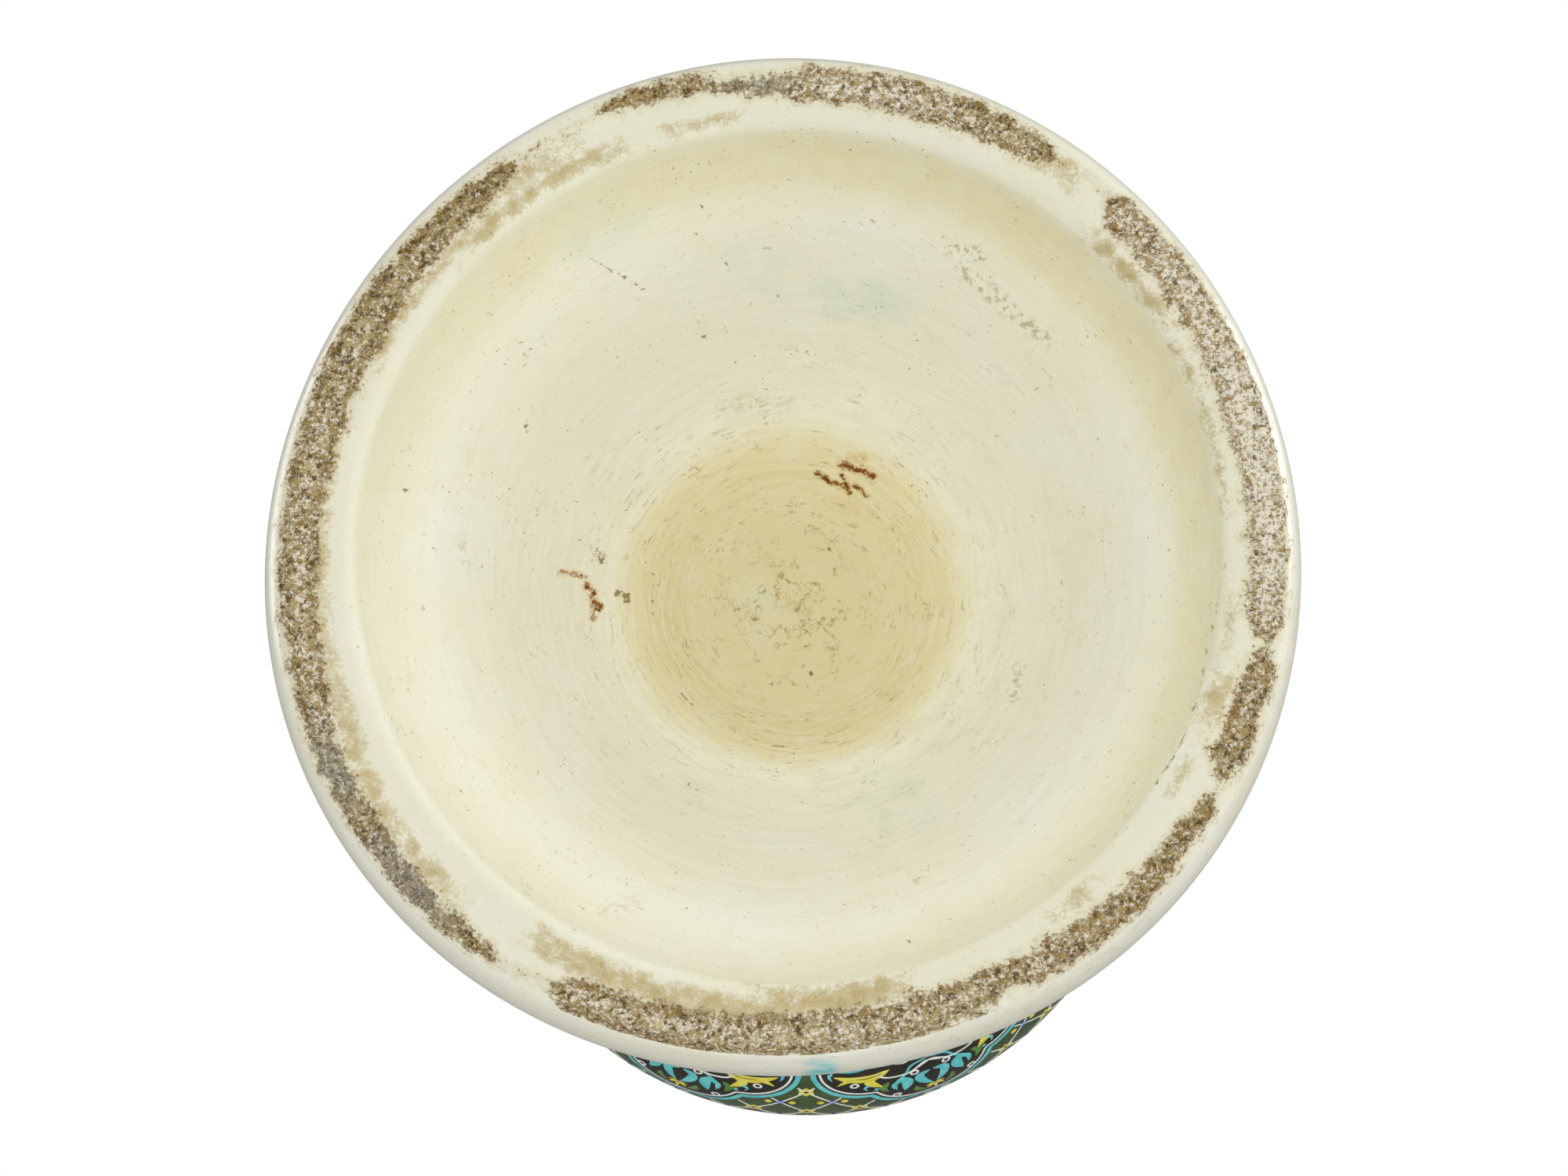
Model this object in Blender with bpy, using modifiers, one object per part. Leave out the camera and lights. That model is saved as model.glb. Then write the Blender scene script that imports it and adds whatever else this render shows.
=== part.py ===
"""A baluster vase of glazed earthenware on a wide hollow foot, as five thrown sections luted with slip.

Each section is turned about +Z. A bed of slip lies between one section and the next.
The origin is on the table, on the vase's axis. Lengths are in metres.
"""

import math

import bmesh
import bpy

# Radii of the outside, from the table upwards
REST_OUTER_RADIUS = 0.0890
REST_INNER_RADIUS = 0.0785
FOOT_RADIUS = 0.0950
FOOT_SHOULDER_RADIUS = 0.0862
STEM_RADIUS = 0.0430
BELLY_RADIUS = 0.0875
NECK_RADIUS = 0.0380
LIP_RADIUS = 0.0515
LIP_BEAD_RADIUS = 0.0040

# Height of each section, from joint to joint
RING_HEIGHT = 0.0190
FOOT_HEIGHT = 0.0420
LOWER_BODY_HEIGHT = 0.2680
UPPER_BODY_HEIGHT = 0.1440
NECK_HEIGHT = 0.0510

# Hollows and walls
FOOT_SHOULDER_RISE = 0.0115
RING_TOP_BORE = 0.0655
STEM_BORE = 0.0240
STEM_BORE_MOUTH = 0.0318
STEM_BORE_DEPTH = 0.0096
DOME_RISE = 0.0010
FLOOR_THICKNESS = 0.0105
WELL_HEIGHT = 0.0115
BODY_WALL = 0.0080
NECK_WALL = 0.0075

# Slip beds between the sections
SLIP_THICKNESS = 0.0010
SLIP_CLEARANCE = 0.0003

# How each curve leaves its start and reaches its end: shares of its reach and of its rise
RING_FLANK = ((0.50, 0.00), (0.00, 0.50))
RING_INNER_WALL = ((0.20, 0.50), (0.45, 0.20))
FOOT_ROLLED_EDGE = ((0.00, 0.60), (0.55, 0.12))
FOOT_SWEEP = ((0.45, 0.20), (0.00, 0.35))
FOOT_SHELF = ((0.30, 0.42), (0.40, 0.03))
STEM_BORE_WALL = ((0.40, 0.05), (0.40, 0.05))
BODY_DOME = ((0.35, 0.55), (0.45, 0.00))
BODY_WELL = ((0.62, 0.00), (0.00, 0.75))
BODY_SWELL = ((0.00, 0.85), (0.00, 0.12))
BODY_SHOULDER = ((0.00, 0.33), (0.00, 0.38))
NECK_FLARE = ((0.00, 0.55), (0.28, 0.17))

# Fineness of the turned surfaces
TURNS = 48
LONG_CURVE_STEPS = 10
SHORT_CURVE_STEPS = 6
BEAD_STEPS = 8
BEAD_START_ANGLE = math.radians(-35)
MERGE_DISTANCE = 0.00001

# Colours as linear red, green and blue, with roughness
CREAM_GLAZE = ((0.78, 0.74, 0.60), 0.22)
BLACK_GLAZE = ((0.018, 0.016, 0.012), 0.15)
BARE_CLAY = ((0.42, 0.36, 0.24), 0.90)
DRIED_SLIP = ((0.60, 0.55, 0.42), 0.85)


def curve(start, end, shape, steps):
    """Points of a cubic curve between two (radius, height) points, both ends included."""
    reach = end[0] - start[0]
    rise = end[1] - start[1]
    leaving, reaching = shape
    start_handle = (start[0] + leaving[0] * reach, start[1] + leaving[1] * rise)
    end_handle = (end[0] - reaching[0] * reach, end[1] - reaching[1] * rise)
    knots = (start, start_handle, end_handle, end)
    points = []
    for step in range(steps + 1):
        t = step / steps
        weights = ((1 - t) ** 3, 3 * t * (1 - t) ** 2, 3 * t * t * (1 - t), t**3)
        points.append(tuple(sum(w * knot[i] for w, knot in zip(weights, knots)) for i in (0, 1)))
    return points


def section_levels():
    """Lowest and highest level of each section, with a slip bed and its clearances between two."""
    heights = {
        "ring": RING_HEIGHT,
        "foot": FOOT_HEIGHT,
        "lower_body": LOWER_BODY_HEIGHT,
        "upper_body": UPPER_BODY_HEIGHT,
        "neck": NECK_HEIGHT,
    }
    levels = {}
    level = 0.0
    for name, height in heights.items():
        levels[name] = (level, level + height)
        level += height + SLIP_THICKNESS + 2 * SLIP_CLEARANCE
    return levels


def fired_material(name, finish):
    colour, roughness = finish
    material = bpy.data.materials.new(name)
    material.use_nodes = True
    shader = material.node_tree.nodes["Principled BSDF"]
    shader.inputs["Base Color"].default_value = (*colour, 1.0)
    shader.inputs["Roughness"].default_value = roughness
    shader.inputs["Metallic"].default_value = 0.0
    return material


def turned(name, profile, closed, material, collection):
    """A solid turned about +Z from a profile of (radius, height) points that runs down its outer side."""
    mesh = bpy.data.meshes.new(name)
    outline = bmesh.new()
    vertices = [outline.verts.new((radius, 0.0, height)) for radius, height in profile]
    for first, second in zip(vertices, vertices[1:]):
        outline.edges.new((first, second))
    if closed:
        outline.edges.new((vertices[-1], vertices[0]))
    outline.to_mesh(mesh)
    outline.free()
    mesh.materials.append(material)
    solid = bpy.data.objects.new(name, mesh)
    collection.objects.link(solid)
    screw = solid.modifiers.new("turning", "SCREW")
    screw.axis = "Z"
    screw.angle = math.tau
    screw.steps = TURNS
    screw.render_steps = TURNS
    screw.use_merge_vertices = True
    screw.merge_threshold = MERGE_DISTANCE
    screw.use_smooth_shade = True
    return solid


def foot_ring_profile(bottom, top):
    """The ring that stands on the table: a flat face, a full outer edge and a steep inner wall."""
    flank = curve((REST_OUTER_RADIUS, bottom), (FOOT_RADIUS, top), RING_FLANK, SHORT_CURVE_STEPS)
    inner_wall = curve(
        (REST_INNER_RADIUS, bottom), (RING_TOP_BORE, top), RING_INNER_WALL, SHORT_CURVE_STEPS
    )
    return flank[::-1] + inner_wall


def foot_profile(bottom, top):
    """The trumpet foot: a rolled edge and a sweep up to the stem, with a shelf and a bore beneath."""
    shoulder = (FOOT_SHOULDER_RADIUS, bottom + FOOT_SHOULDER_RISE)
    bore_mouth = (STEM_BORE_MOUTH, top - STEM_BORE_DEPTH)
    rolled_edge = curve((FOOT_RADIUS, bottom), shoulder, FOOT_ROLLED_EDGE, SHORT_CURVE_STEPS)
    sweep = curve(shoulder, (STEM_RADIUS, top), FOOT_SWEEP, SHORT_CURVE_STEPS)
    shelf = curve((RING_TOP_BORE, bottom), bore_mouth, FOOT_SHELF, SHORT_CURVE_STEPS)
    bore = curve(bore_mouth, (STEM_BORE, top), STEM_BORE_WALL, SHORT_CURVE_STEPS)
    outside = rolled_edge + sweep[1:]
    underside = shelf + bore[1:]
    return outside[::-1] + underside


def lower_body_profile(bottom, top):
    """The closed bowl: a domed underside, a floor with a round well, and walls that swell to the belly."""
    dome_top = (0.0, bottom + DOME_RISE)
    floor = (0.0, dome_top[1] + FLOOR_THICKNESS)
    well_edge = (STEM_RADIUS - BODY_WALL, floor[1] + WELL_HEIGHT)
    well = curve(floor, well_edge, BODY_WELL, SHORT_CURVE_STEPS)
    inside = curve(well_edge, (BELLY_RADIUS - BODY_WALL, top), BODY_SWELL, LONG_CURVE_STEPS)
    outside = curve((STEM_RADIUS, bottom), (BELLY_RADIUS, top), BODY_SWELL, LONG_CURVE_STEPS)
    dome = curve((STEM_BORE, bottom), dome_top, BODY_DOME, SHORT_CURVE_STEPS)
    return well + inside[1:] + outside[::-1] + dome


def upper_body_profile(bottom, top):
    """The shoulder: an open shell that closes in from the belly to the neck."""
    outside = curve((BELLY_RADIUS, bottom), (NECK_RADIUS, top), BODY_SHOULDER, LONG_CURVE_STEPS)
    inside = curve(
        (BELLY_RADIUS - BODY_WALL, bottom), (NECK_RADIUS - NECK_WALL, top), BODY_SHOULDER, LONG_CURVE_STEPS
    )
    return outside[::-1] + inside


def neck_profile(bottom, top):
    """The flared neck with a rolled bead for a lip."""
    bead = []
    for step in range(BEAD_STEPS + 1):
        angle = BEAD_START_ANGLE + (math.pi - BEAD_START_ANGLE) * step / BEAD_STEPS
        radius = LIP_RADIUS + LIP_BEAD_RADIUS * math.cos(angle)
        bead.append((radius, top + LIP_BEAD_RADIUS * math.sin(angle)))
    outside = curve((NECK_RADIUS, bottom), bead[0], NECK_FLARE, SHORT_CURVE_STEPS)
    inside = curve((NECK_RADIUS - NECK_WALL, bottom), bead[-1], NECK_FLARE, SHORT_CURVE_STEPS)
    return bead[-2::-1] + outside[-2::-1] + inside


def slip_profile(outer_radius, inner_radius, joint_level):
    """A flat ring of slip on the joint face of the section below it."""
    low = joint_level + SLIP_CLEARANCE
    high = low + SLIP_THICKNESS
    return [(outer_radius, high), (outer_radius, low), (inner_radius, low), (inner_radius, high)]


def main():
    for leftover in list(bpy.data.objects):
        bpy.data.objects.remove(leftover)
    collection = bpy.data.collections.new("baluster_vase")
    bpy.context.scene.collection.children.link(collection)
    cream = fired_material("cream_glaze", CREAM_GLAZE)
    black = fired_material("black_glaze", BLACK_GLAZE)
    clay = fired_material("bare_clay", BARE_CLAY)
    slip = fired_material("dried_slip", DRIED_SLIP)
    levels = section_levels()

    turned("foot_ring", foot_ring_profile(*levels["ring"]), True, clay, collection)
    turned("foot", foot_profile(*levels["foot"]), True, cream, collection)
    turned("lower_body", lower_body_profile(*levels["lower_body"]), False, black, collection)
    turned("upper_body", upper_body_profile(*levels["upper_body"]), True, black, collection)
    turned("neck", neck_profile(*levels["neck"]), True, black, collection)

    slip_beds = (
        ("ring_slip_bed", "ring", FOOT_RADIUS, RING_TOP_BORE),
        ("foot_slip_bed", "foot", STEM_RADIUS, STEM_BORE),
        ("belly_slip_bed", "lower_body", BELLY_RADIUS, BELLY_RADIUS - BODY_WALL),
        ("neck_slip_bed", "upper_body", NECK_RADIUS, NECK_RADIUS - NECK_WALL),
    )
    for name, section_below, outer_radius, inner_radius in slip_beds:
        profile = slip_profile(outer_radius, inner_radius, levels[section_below][1])
        turned(name, profile, True, slip, collection)


main()
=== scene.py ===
# %% [markdown]
# # A painted vase, seen from underneath
#
# The CAD model gives the thrown sections of a tall vase as plain turned solids. This lesson dresses them: a
# worn foot ring, a cream-glazed hollow, and a body painted with arabesques on a glossy glaze. First the
# imported model is loaded as a fixed frame.

# %% Load the frame
import math

import bpy
import numpy as np
from mathutils import Matrix, Vector, noise


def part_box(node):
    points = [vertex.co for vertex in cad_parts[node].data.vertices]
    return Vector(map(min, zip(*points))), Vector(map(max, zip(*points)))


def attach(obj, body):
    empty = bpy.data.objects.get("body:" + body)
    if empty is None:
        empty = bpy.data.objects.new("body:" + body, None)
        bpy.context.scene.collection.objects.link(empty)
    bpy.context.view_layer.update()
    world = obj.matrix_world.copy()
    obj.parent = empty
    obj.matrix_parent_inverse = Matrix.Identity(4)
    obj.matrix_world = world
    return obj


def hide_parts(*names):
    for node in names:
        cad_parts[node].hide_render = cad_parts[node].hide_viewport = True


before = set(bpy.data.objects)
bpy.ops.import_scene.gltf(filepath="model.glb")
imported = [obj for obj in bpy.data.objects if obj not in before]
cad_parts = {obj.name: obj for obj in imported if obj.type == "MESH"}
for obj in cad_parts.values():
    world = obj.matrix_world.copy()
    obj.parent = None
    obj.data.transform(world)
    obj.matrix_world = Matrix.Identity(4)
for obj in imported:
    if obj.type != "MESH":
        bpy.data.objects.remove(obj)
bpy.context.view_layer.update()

MM = 0.001
BODY = "root"
print("sections:", ", ".join(sorted(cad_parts)))

# %% [markdown]
# Three small helpers serve many cells. Colours are written as the sRGB hex values that a paint chart gives,
# and one function turns them to the linear numbers that shaders use. The others add a node to a tree with
# its settings, and set or link its inputs.

# %% Helpers for colours and nodes
def linear(hex_colour):
    """An sRGB hex colour as linear red, green, blue and alpha."""
    channels = [int(hex_colour[i : i + 2], 16) / 255 for i in (1, 3, 5)]
    return (*[c / 12.92 if c <= 0.04045 else ((c + 0.055) / 1.055) ** 2.4 for c in channels], 1.0)


def fill(tree, node, inputs):
    """Gives a node's inputs, in order or by name, a value or a link from a socket."""
    for key, value in inputs.items() if isinstance(inputs, dict) else enumerate(inputs):
        if isinstance(value, bpy.types.NodeSocket):
            tree.links.new(value, node.inputs[key])
        else:
            node.inputs[key].default_value = value


def add_node(tree, kind, inputs=(), **settings):
    """Adds a node with its settings and inputs, and gives its outputs."""
    node = tree.nodes.new(kind)
    for name, value in settings.items():
        setattr(node, name, value)
    fill(tree, node, inputs)
    return node.outputs


# %% [markdown]
# ## The camera
# The photograph looks up at the foot from below, a little off the vase's axis, so the near side of the
# belly shows past the foot's lower edge. A camera could be turned by eye until it fits. Here it is worked
# out, since marks are later placed through it: the tilt comes from the ellipse of the resting ring, the
# distance from how much smaller the belly looks, and the roll from the slant of the axis in the picture.

# %% Camera
CAMERA_TILT = math.radians(10.5)
CAMERA_ROLL = math.radians(4.75)
CAMERA_DISTANCE = 712 * MM
CAMERA_LENS = 91.3
SENSOR_WIDTH = 36.0
PHOTO_SIZE = (2000, 1500)
FOOT_CENTRE_PIXEL = (1006, 697)

look = Vector((0, math.sin(CAMERA_TILT), math.cos(CAMERA_TILT)))
level_right = Vector((-1, 0, 0))
level_down = Vector((0, -math.cos(CAMERA_TILT), math.sin(CAMERA_TILT)))
photo_right = math.cos(CAMERA_ROLL) * level_right + math.sin(CAMERA_ROLL) * level_down
photo_down = math.cos(CAMERA_ROLL) * level_down - math.sin(CAMERA_ROLL) * level_right

camera_data = bpy.data.cameras.new("camera")
camera_data.lens = CAMERA_LENS
camera_data.sensor_width = SENSOR_WIDTH
camera_data.clip_start = 0.01
camera = bpy.data.objects.new("camera", camera_data)
bpy.context.scene.collection.objects.link(camera)
facing = Matrix((photo_right, -photo_down, -look)).transposed().to_4x4()
camera.matrix_world = Matrix.Translation(-CAMERA_DISTANCE * look) @ facing
pixel = SENSOR_WIDTH / PHOTO_SIZE[0] / CAMERA_LENS
offset = (FOOT_CENTRE_PIXEL[0] - PHOTO_SIZE[0] / 2, FOOT_CENTRE_PIXEL[1] - PHOTO_SIZE[1] / 2)
turn = Matrix.Rotation(offset[0] * pixel, 4, "Y") @ Matrix.Rotation(offset[1] * pixel, 4, "X")
camera.matrix_world = camera.matrix_world @ turn
bpy.context.scene.camera = camera
print("camera stands", round(CAMERA_DISTANCE / MM), "mm below the foot")

# %% [markdown]
# ## The outline
# A thrown pot is one outline turned about an axis. It could be read from the CAD mesh, but that has only as
# many points as a solid needs. So the radii and levels at the joints are read from the frame's slip beds,
# and finer curves are drawn between them, which leave and reach their ends much as the CAD curves do.

# %% Sizes from the frame
def half_width(node):
    """Outer radius of a turned CAD node."""
    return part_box(node)[1].x


def middle_level(node):
    """Height of the middle of a CAD node."""
    low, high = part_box(node)
    return (low.z + high.z) / 2


FOOT_RADIUS = half_width("ring_slip_bed")
STEM_RADIUS = half_width("foot_slip_bed")
BELLY_RADIUS = half_width("belly_slip_bed")
NECK_RADIUS = half_width("neck_slip_bed")
RING_LEVEL = middle_level("ring_slip_bed")
STEM_LEVEL = middle_level("foot_slip_bed")
BELLY_LEVEL = middle_level("belly_slip_bed")
NECK_LEVEL = middle_level("neck_slip_bed")
LIP_BEAD = 4.0 * MM
LIP_RADIUS = half_width("neck") - LIP_BEAD
LIP_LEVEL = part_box("neck")[1].z - LIP_BEAD
REST_OUTER_RADIUS = 89.0 * MM
REST_INNER_RADIUS = 78.5 * MM
FOOT_SHOULDER = (86.2 * MM, 32.1 * MM)
RING_BORE = 65.5 * MM
STEM_BORE_MOUTH = (31.8 * MM, 53.0 * MM)
STEM_BORE = 24.0 * MM
RECESS_EDGE = 36.0 * MM
RECESS_FLOOR = 15.0 * MM
DOME_LEVEL = 65.2 * MM
FLOOR_LEVEL = 75.7 * MM
WELL_LEVEL = 87.2 * MM
BODY_WALL = 8.0 * MM
NECK_WALL = 7.5 * MM
print(f"foot {FOOT_RADIUS / MM:.1f}, stem {STEM_RADIUS / MM:.1f}, belly {BELLY_RADIUS / MM:.1f} mm")

# %% Curves
CURVE_SAMPLES = 160


def curve(start, end, leaving, reaching):
    """A cubic between two (radius, height) points, as the CAD draws it."""
    reach, rise = end[0] - start[0], end[1] - start[1]
    first = (start[0] + leaving[0] * reach, start[1] + leaving[1] * rise)
    last = (end[0] - reaching[0] * reach, end[1] - reaching[1] * rise)
    t = np.linspace(0, 1, CURVE_SAMPLES)[:, None]
    weights = ((1 - t) ** 3, 3 * t * (1 - t) ** 2, 3 * t**2 * (1 - t), t**3)
    return sum(weight * np.array(knot) for weight, knot in zip(weights, (start, first, last, end)))


def spaced(points, spacing):
    """The same line with points about one spacing apart."""
    points = np.asarray(points, float)
    steps = np.hypot(*np.diff(points, axis=0).T)
    along = np.concatenate(([0], np.cumsum(steps)))
    count = max(2, round(along[-1] / spacing) + 1)
    wanted = np.linspace(0, along[-1], count)
    return np.stack([np.interp(wanted, along, points[:, i]) for i in (0, 1)], axis=1)


# %% The outline, from the table up
# How each curve leaves its start and reaches its end: shares of its reach and of its rise
RING_FLANK = ((0.50, 0), (0, 0.50))
RING_WALL = ((0.20, 0.50), (0.42, 0.27))
FOOT_EDGE = ((0, 0.60), (0.55, 0.12))
FOOT_SWEEP = ((0.45, 0.20), (0, 0.35))
FOOT_SHELF = ((0.34, 0.36), (0.40, 0.03))
RECESS = ((0.42, 0.06), (0.42, 0))
BODY_WELL = ((0.62, 0), (0, 0.75))
BODY_SWELL = ((0, 0.85), (0, 0.12))
BODY_SHOULDER = ((0, 0.33), (0, 0.38))
NECK_FLARE = ((0, 0.55), (0.28, 0.17))
BEAD_START = math.radians(-35)
BEAD_POINTS = 40

ring_flank = curve((REST_OUTER_RADIUS, 0), (FOOT_RADIUS, RING_LEVEL), *RING_FLANK)
ring_wall = curve((REST_INNER_RADIUS, 0), (RING_BORE, RING_LEVEL), *RING_WALL)
foot_edge = curve((FOOT_RADIUS, RING_LEVEL), FOOT_SHOULDER, *FOOT_EDGE)
foot_sweep = curve(FOOT_SHOULDER, (STEM_RADIUS, STEM_LEVEL), *FOOT_SWEEP)
foot_shelf = curve((RING_BORE, RING_LEVEL), STEM_BORE_MOUTH, *FOOT_SHELF)
foot_shelf = foot_shelf[foot_shelf[:, 0] > RECESS_EDGE]
recess = curve(foot_shelf[-1], (RECESS_FLOOR, DOME_LEVEL), *RECESS)
foot_bore = recess[recess[:, 0] >= STEM_BORE]
body_dome = np.vstack((foot_bore[-1:], recess[recess[:, 0] < STEM_BORE], ((0, DOME_LEVEL),)))
well_edge = (STEM_RADIUS - BODY_WALL, WELL_LEVEL)
belly = (BELLY_RADIUS, BELLY_LEVEL)
belly_inside = (BELLY_RADIUS - BODY_WALL, BELLY_LEVEL)
neck_root = (NECK_RADIUS, NECK_LEVEL)
neck_root_inside = (NECK_RADIUS - NECK_WALL, NECK_LEVEL)
body_well = curve((0, FLOOR_LEVEL), well_edge, *BODY_WELL)
body_inside = curve(well_edge, belly_inside, *BODY_SWELL)
body_swell = curve((STEM_RADIUS, STEM_LEVEL), belly, *BODY_SWELL)
shoulder = curve(belly, neck_root, *BODY_SHOULDER)
shoulder_inside = curve(belly_inside, neck_root_inside, *BODY_SHOULDER)
bead_angles = np.linspace(BEAD_START, math.pi, BEAD_POINTS)
bead_round = np.stack((np.cos(bead_angles), np.sin(bead_angles)), axis=1)
lip_bead = (LIP_RADIUS, LIP_LEVEL) + LIP_BEAD * bead_round
neck_flare = curve(neck_root, lip_bead[0], *NECK_FLARE)
neck_inside = curve(neck_root_inside, lip_bead[-1], *NECK_FLARE)
outer_bead = lip_bead[: BEAD_POINTS // 2]
outer_curves = (ring_flank, foot_edge, foot_sweep, body_swell, shoulder, neck_flare, outer_bead)
outside = spaced(np.vstack(outer_curves), 1.0 * MM)
outside_along = np.concatenate(([0], np.cumsum(np.hypot(*np.diff(outside, axis=0).T))))
print(f"the outline runs {outside_along[-1] / MM:.0f} mm from the table to the lip")

# %% [markdown]
# ## Turned skins
# Each section becomes a fine mesh: its outline, copied round the axis. A Screw modifier could turn it.
# Points in an array are as short to write, and each can be moved and can keep numbers for the materials. A
# hand-thrown foot is never quite round, so one function nudges every point of the foot the same way, paint
# included. The nudges are a few waves round the rim, chosen by comparing the rim in the photograph with a
# true circle.

# %% Out of round
PHOTO_RIGHT_AZIMUTH = math.pi + CAMERA_ROLL
RIM_PULL = -0.6 * MM
RIM_WAVES = ((1, 1.3 * MM, 190), (2, 0.6 * MM, 160), (3, 0.5 * MM, 35))
ROUND_WITHIN, UNEVEN_BEYOND = 82 * MM, 92 * MM
ROUND_ABOVE, UNEVEN_BELOW = 50 * MM, 24 * MM


def photo_angle(points):
    """Angle round the axis, in radians clockwise in the photograph from its right side."""
    return np.arctan2(points[:, 1], points[:, 0]) - PHOTO_RIGHT_AZIMUTH


def fade(value, low, high):
    """0 below low, 1 above high, and smooth between. Low may be the larger."""
    t = np.clip((value - low) / (high - low), 0, 1)
    return t * t * (3 - 2 * t)


def settle(points):
    """Pushes the foot out of round, as its maker's hands left it."""
    radius = np.hypot(points[:, 0], points[:, 1])
    angle = photo_angle(points)
    waves = [size * np.cos(count * (angle - math.radians(peak))) for count, size, peak in RIM_WAVES]
    push = RIM_PULL + sum(waves)
    push *= fade(radius, ROUND_WITHIN, UNEVEN_BEYOND) * fade(points[:, 2], ROUND_ABOVE, UNEVEN_BELOW)
    settled = points.copy()
    settled[:, :2] *= (1 + push / np.maximum(radius, MM))[:, None]
    return settled


# %% Turning an outline into a mesh
SHARP_ANGLE = math.radians(32)


def turned_piece(name, outline, turns):
    """A closed skin from an outline that runs down its outer side, or starts and ends on the axis."""
    on_axis = outline[0, 0] < 1e-9
    rows = outline[1:-1] if on_axis else outline
    angles = np.arange(turns) * math.tau / turns
    points = np.empty((len(rows), turns, 3))
    points[..., 0] = rows[:, :1] * np.cos(angles)
    points[..., 1] = rows[:, :1] * np.sin(angles)
    points[..., 2] = rows[:, 1:]
    points = points.reshape(-1, 3)
    row = np.arange(len(rows) - 1)[:, None] * turns
    column = np.arange(turns)
    following = (column + 1) % turns
    pairs = list(zip(column.tolist(), following.tolist()))
    faces = np.stack((row + column, row + turns + column, row + turns + following, row + following), axis=-1)
    faces = faces.reshape(-1, 4).tolist()
    last = (len(rows) - 1) * turns
    if on_axis:
        first_pole, last_pole = len(points), len(points) + 1
        points = np.vstack((points, (0, 0, outline[0, 1]), (0, 0, outline[-1, 1])))
        faces += [(first_pole, a, b) for a, b in pairs]
        faces += [(last + a, last_pole, last + b) for a, b in pairs]
    else:
        faces += [(last + a, a, b, last + b) for a, b in pairs]
    mesh = bpy.data.meshes.new(name)
    mesh.from_pydata(settle(points).tolist(), [], faces)
    mesh.shade_smooth()
    mesh.set_sharp_from_angle(angle=SHARP_ANGLE)
    piece = bpy.data.objects.new(name, mesh)
    bpy.context.scene.collection.objects.link(piece)
    print(name, "has", len(mesh.polygons), "faces")
    return piece


def keep_values(piece, name, values):
    """Stores one number for each vertex, for the material to read."""
    piece.data.attributes.new(name, "FLOAT", "POINT").data.foreach_set("value", values.astype(np.float32))


def vertex_points(piece):
    """Places of all vertices of a piece, one row each."""
    points = np.empty(len(piece.data.vertices) * 3)
    piece.data.vertices.foreach_get("co", points)
    return points.reshape(-1, 3)


# %% The five sections
RIM_ROUNDING = 3.0 * MM
RIM_CORNER = ((0.70, 0), (0.18, 0.62))
ROUNDED_WALL_POINTS = 4
ring_face = np.array(((REST_OUTER_RADIUS, 0), (REST_INNER_RADIUS + RIM_ROUNDING, 0)))
wall_points = spaced(ring_wall, 0.9 * MM)
rim_corner = curve(ring_face[1], wall_points[ROUNDED_WALL_POINTS], *RIM_CORNER)
ring_outline = np.vstack(
    (
        spaced(ring_flank[::-1], 1.0 * MM)[:-1],
        spaced(ring_face, 0.36 * MM)[:-1],
        spaced(rim_corner, 0.6 * MM)[:-1],
        wall_points[ROUNDED_WALL_POINTS:],
    )
)
foot_outline = np.vstack(
    (
        spaced(np.vstack((foot_edge, foot_sweep))[::-1], 1.2 * MM),
        spaced(np.vstack((foot_shelf, foot_bore)), 0.75 * MM),
    )
)
body_outline = np.vstack(
    (
        spaced(np.vstack((body_well, body_inside)), 6.0 * MM),
        spaced(body_swell[::-1], 1.7 * MM),
        spaced(body_dome, 0.8 * MM),
    )
)
shoulder_outline = np.vstack((spaced(shoulder[::-1], 1.7 * MM), spaced(shoulder_inside, 5.0 * MM)))
neck_outline = np.vstack(
    (
        spaced(lip_bead[::-1], 0.8 * MM)[:-1],
        spaced(neck_flare[::-1], 1.5 * MM),
        spaced(neck_inside, 1.8 * MM)[:-1],
    )
)
foot_ring = turned_piece("foot_ring_worn", ring_outline, 1152)
foot = turned_piece("foot_glazed", foot_outline, 512)
lower_body = turned_piece("lower_body_glazed", body_outline, 320)
upper_body = turned_piece("upper_body_glazed", shoulder_outline, 320)
neck = turned_piece("neck_glazed", neck_outline, 256)

# %% [markdown]
# ## Wear on the resting ring
# Years of sliding on stone ground the glaze off the ring that the vase stands on, and the gritty clay under
# it took up dirt. Such wear is often painted on an image. Numbers on the vertices need no image, and they
# can move the surface as well as colour it. The bare band is written as three numbers at a time: an angle
# round the rim, and the inner and outer radius of the band there in millimetres. Where the inner radius is
# the larger one, glaze still bridges the band.

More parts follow.
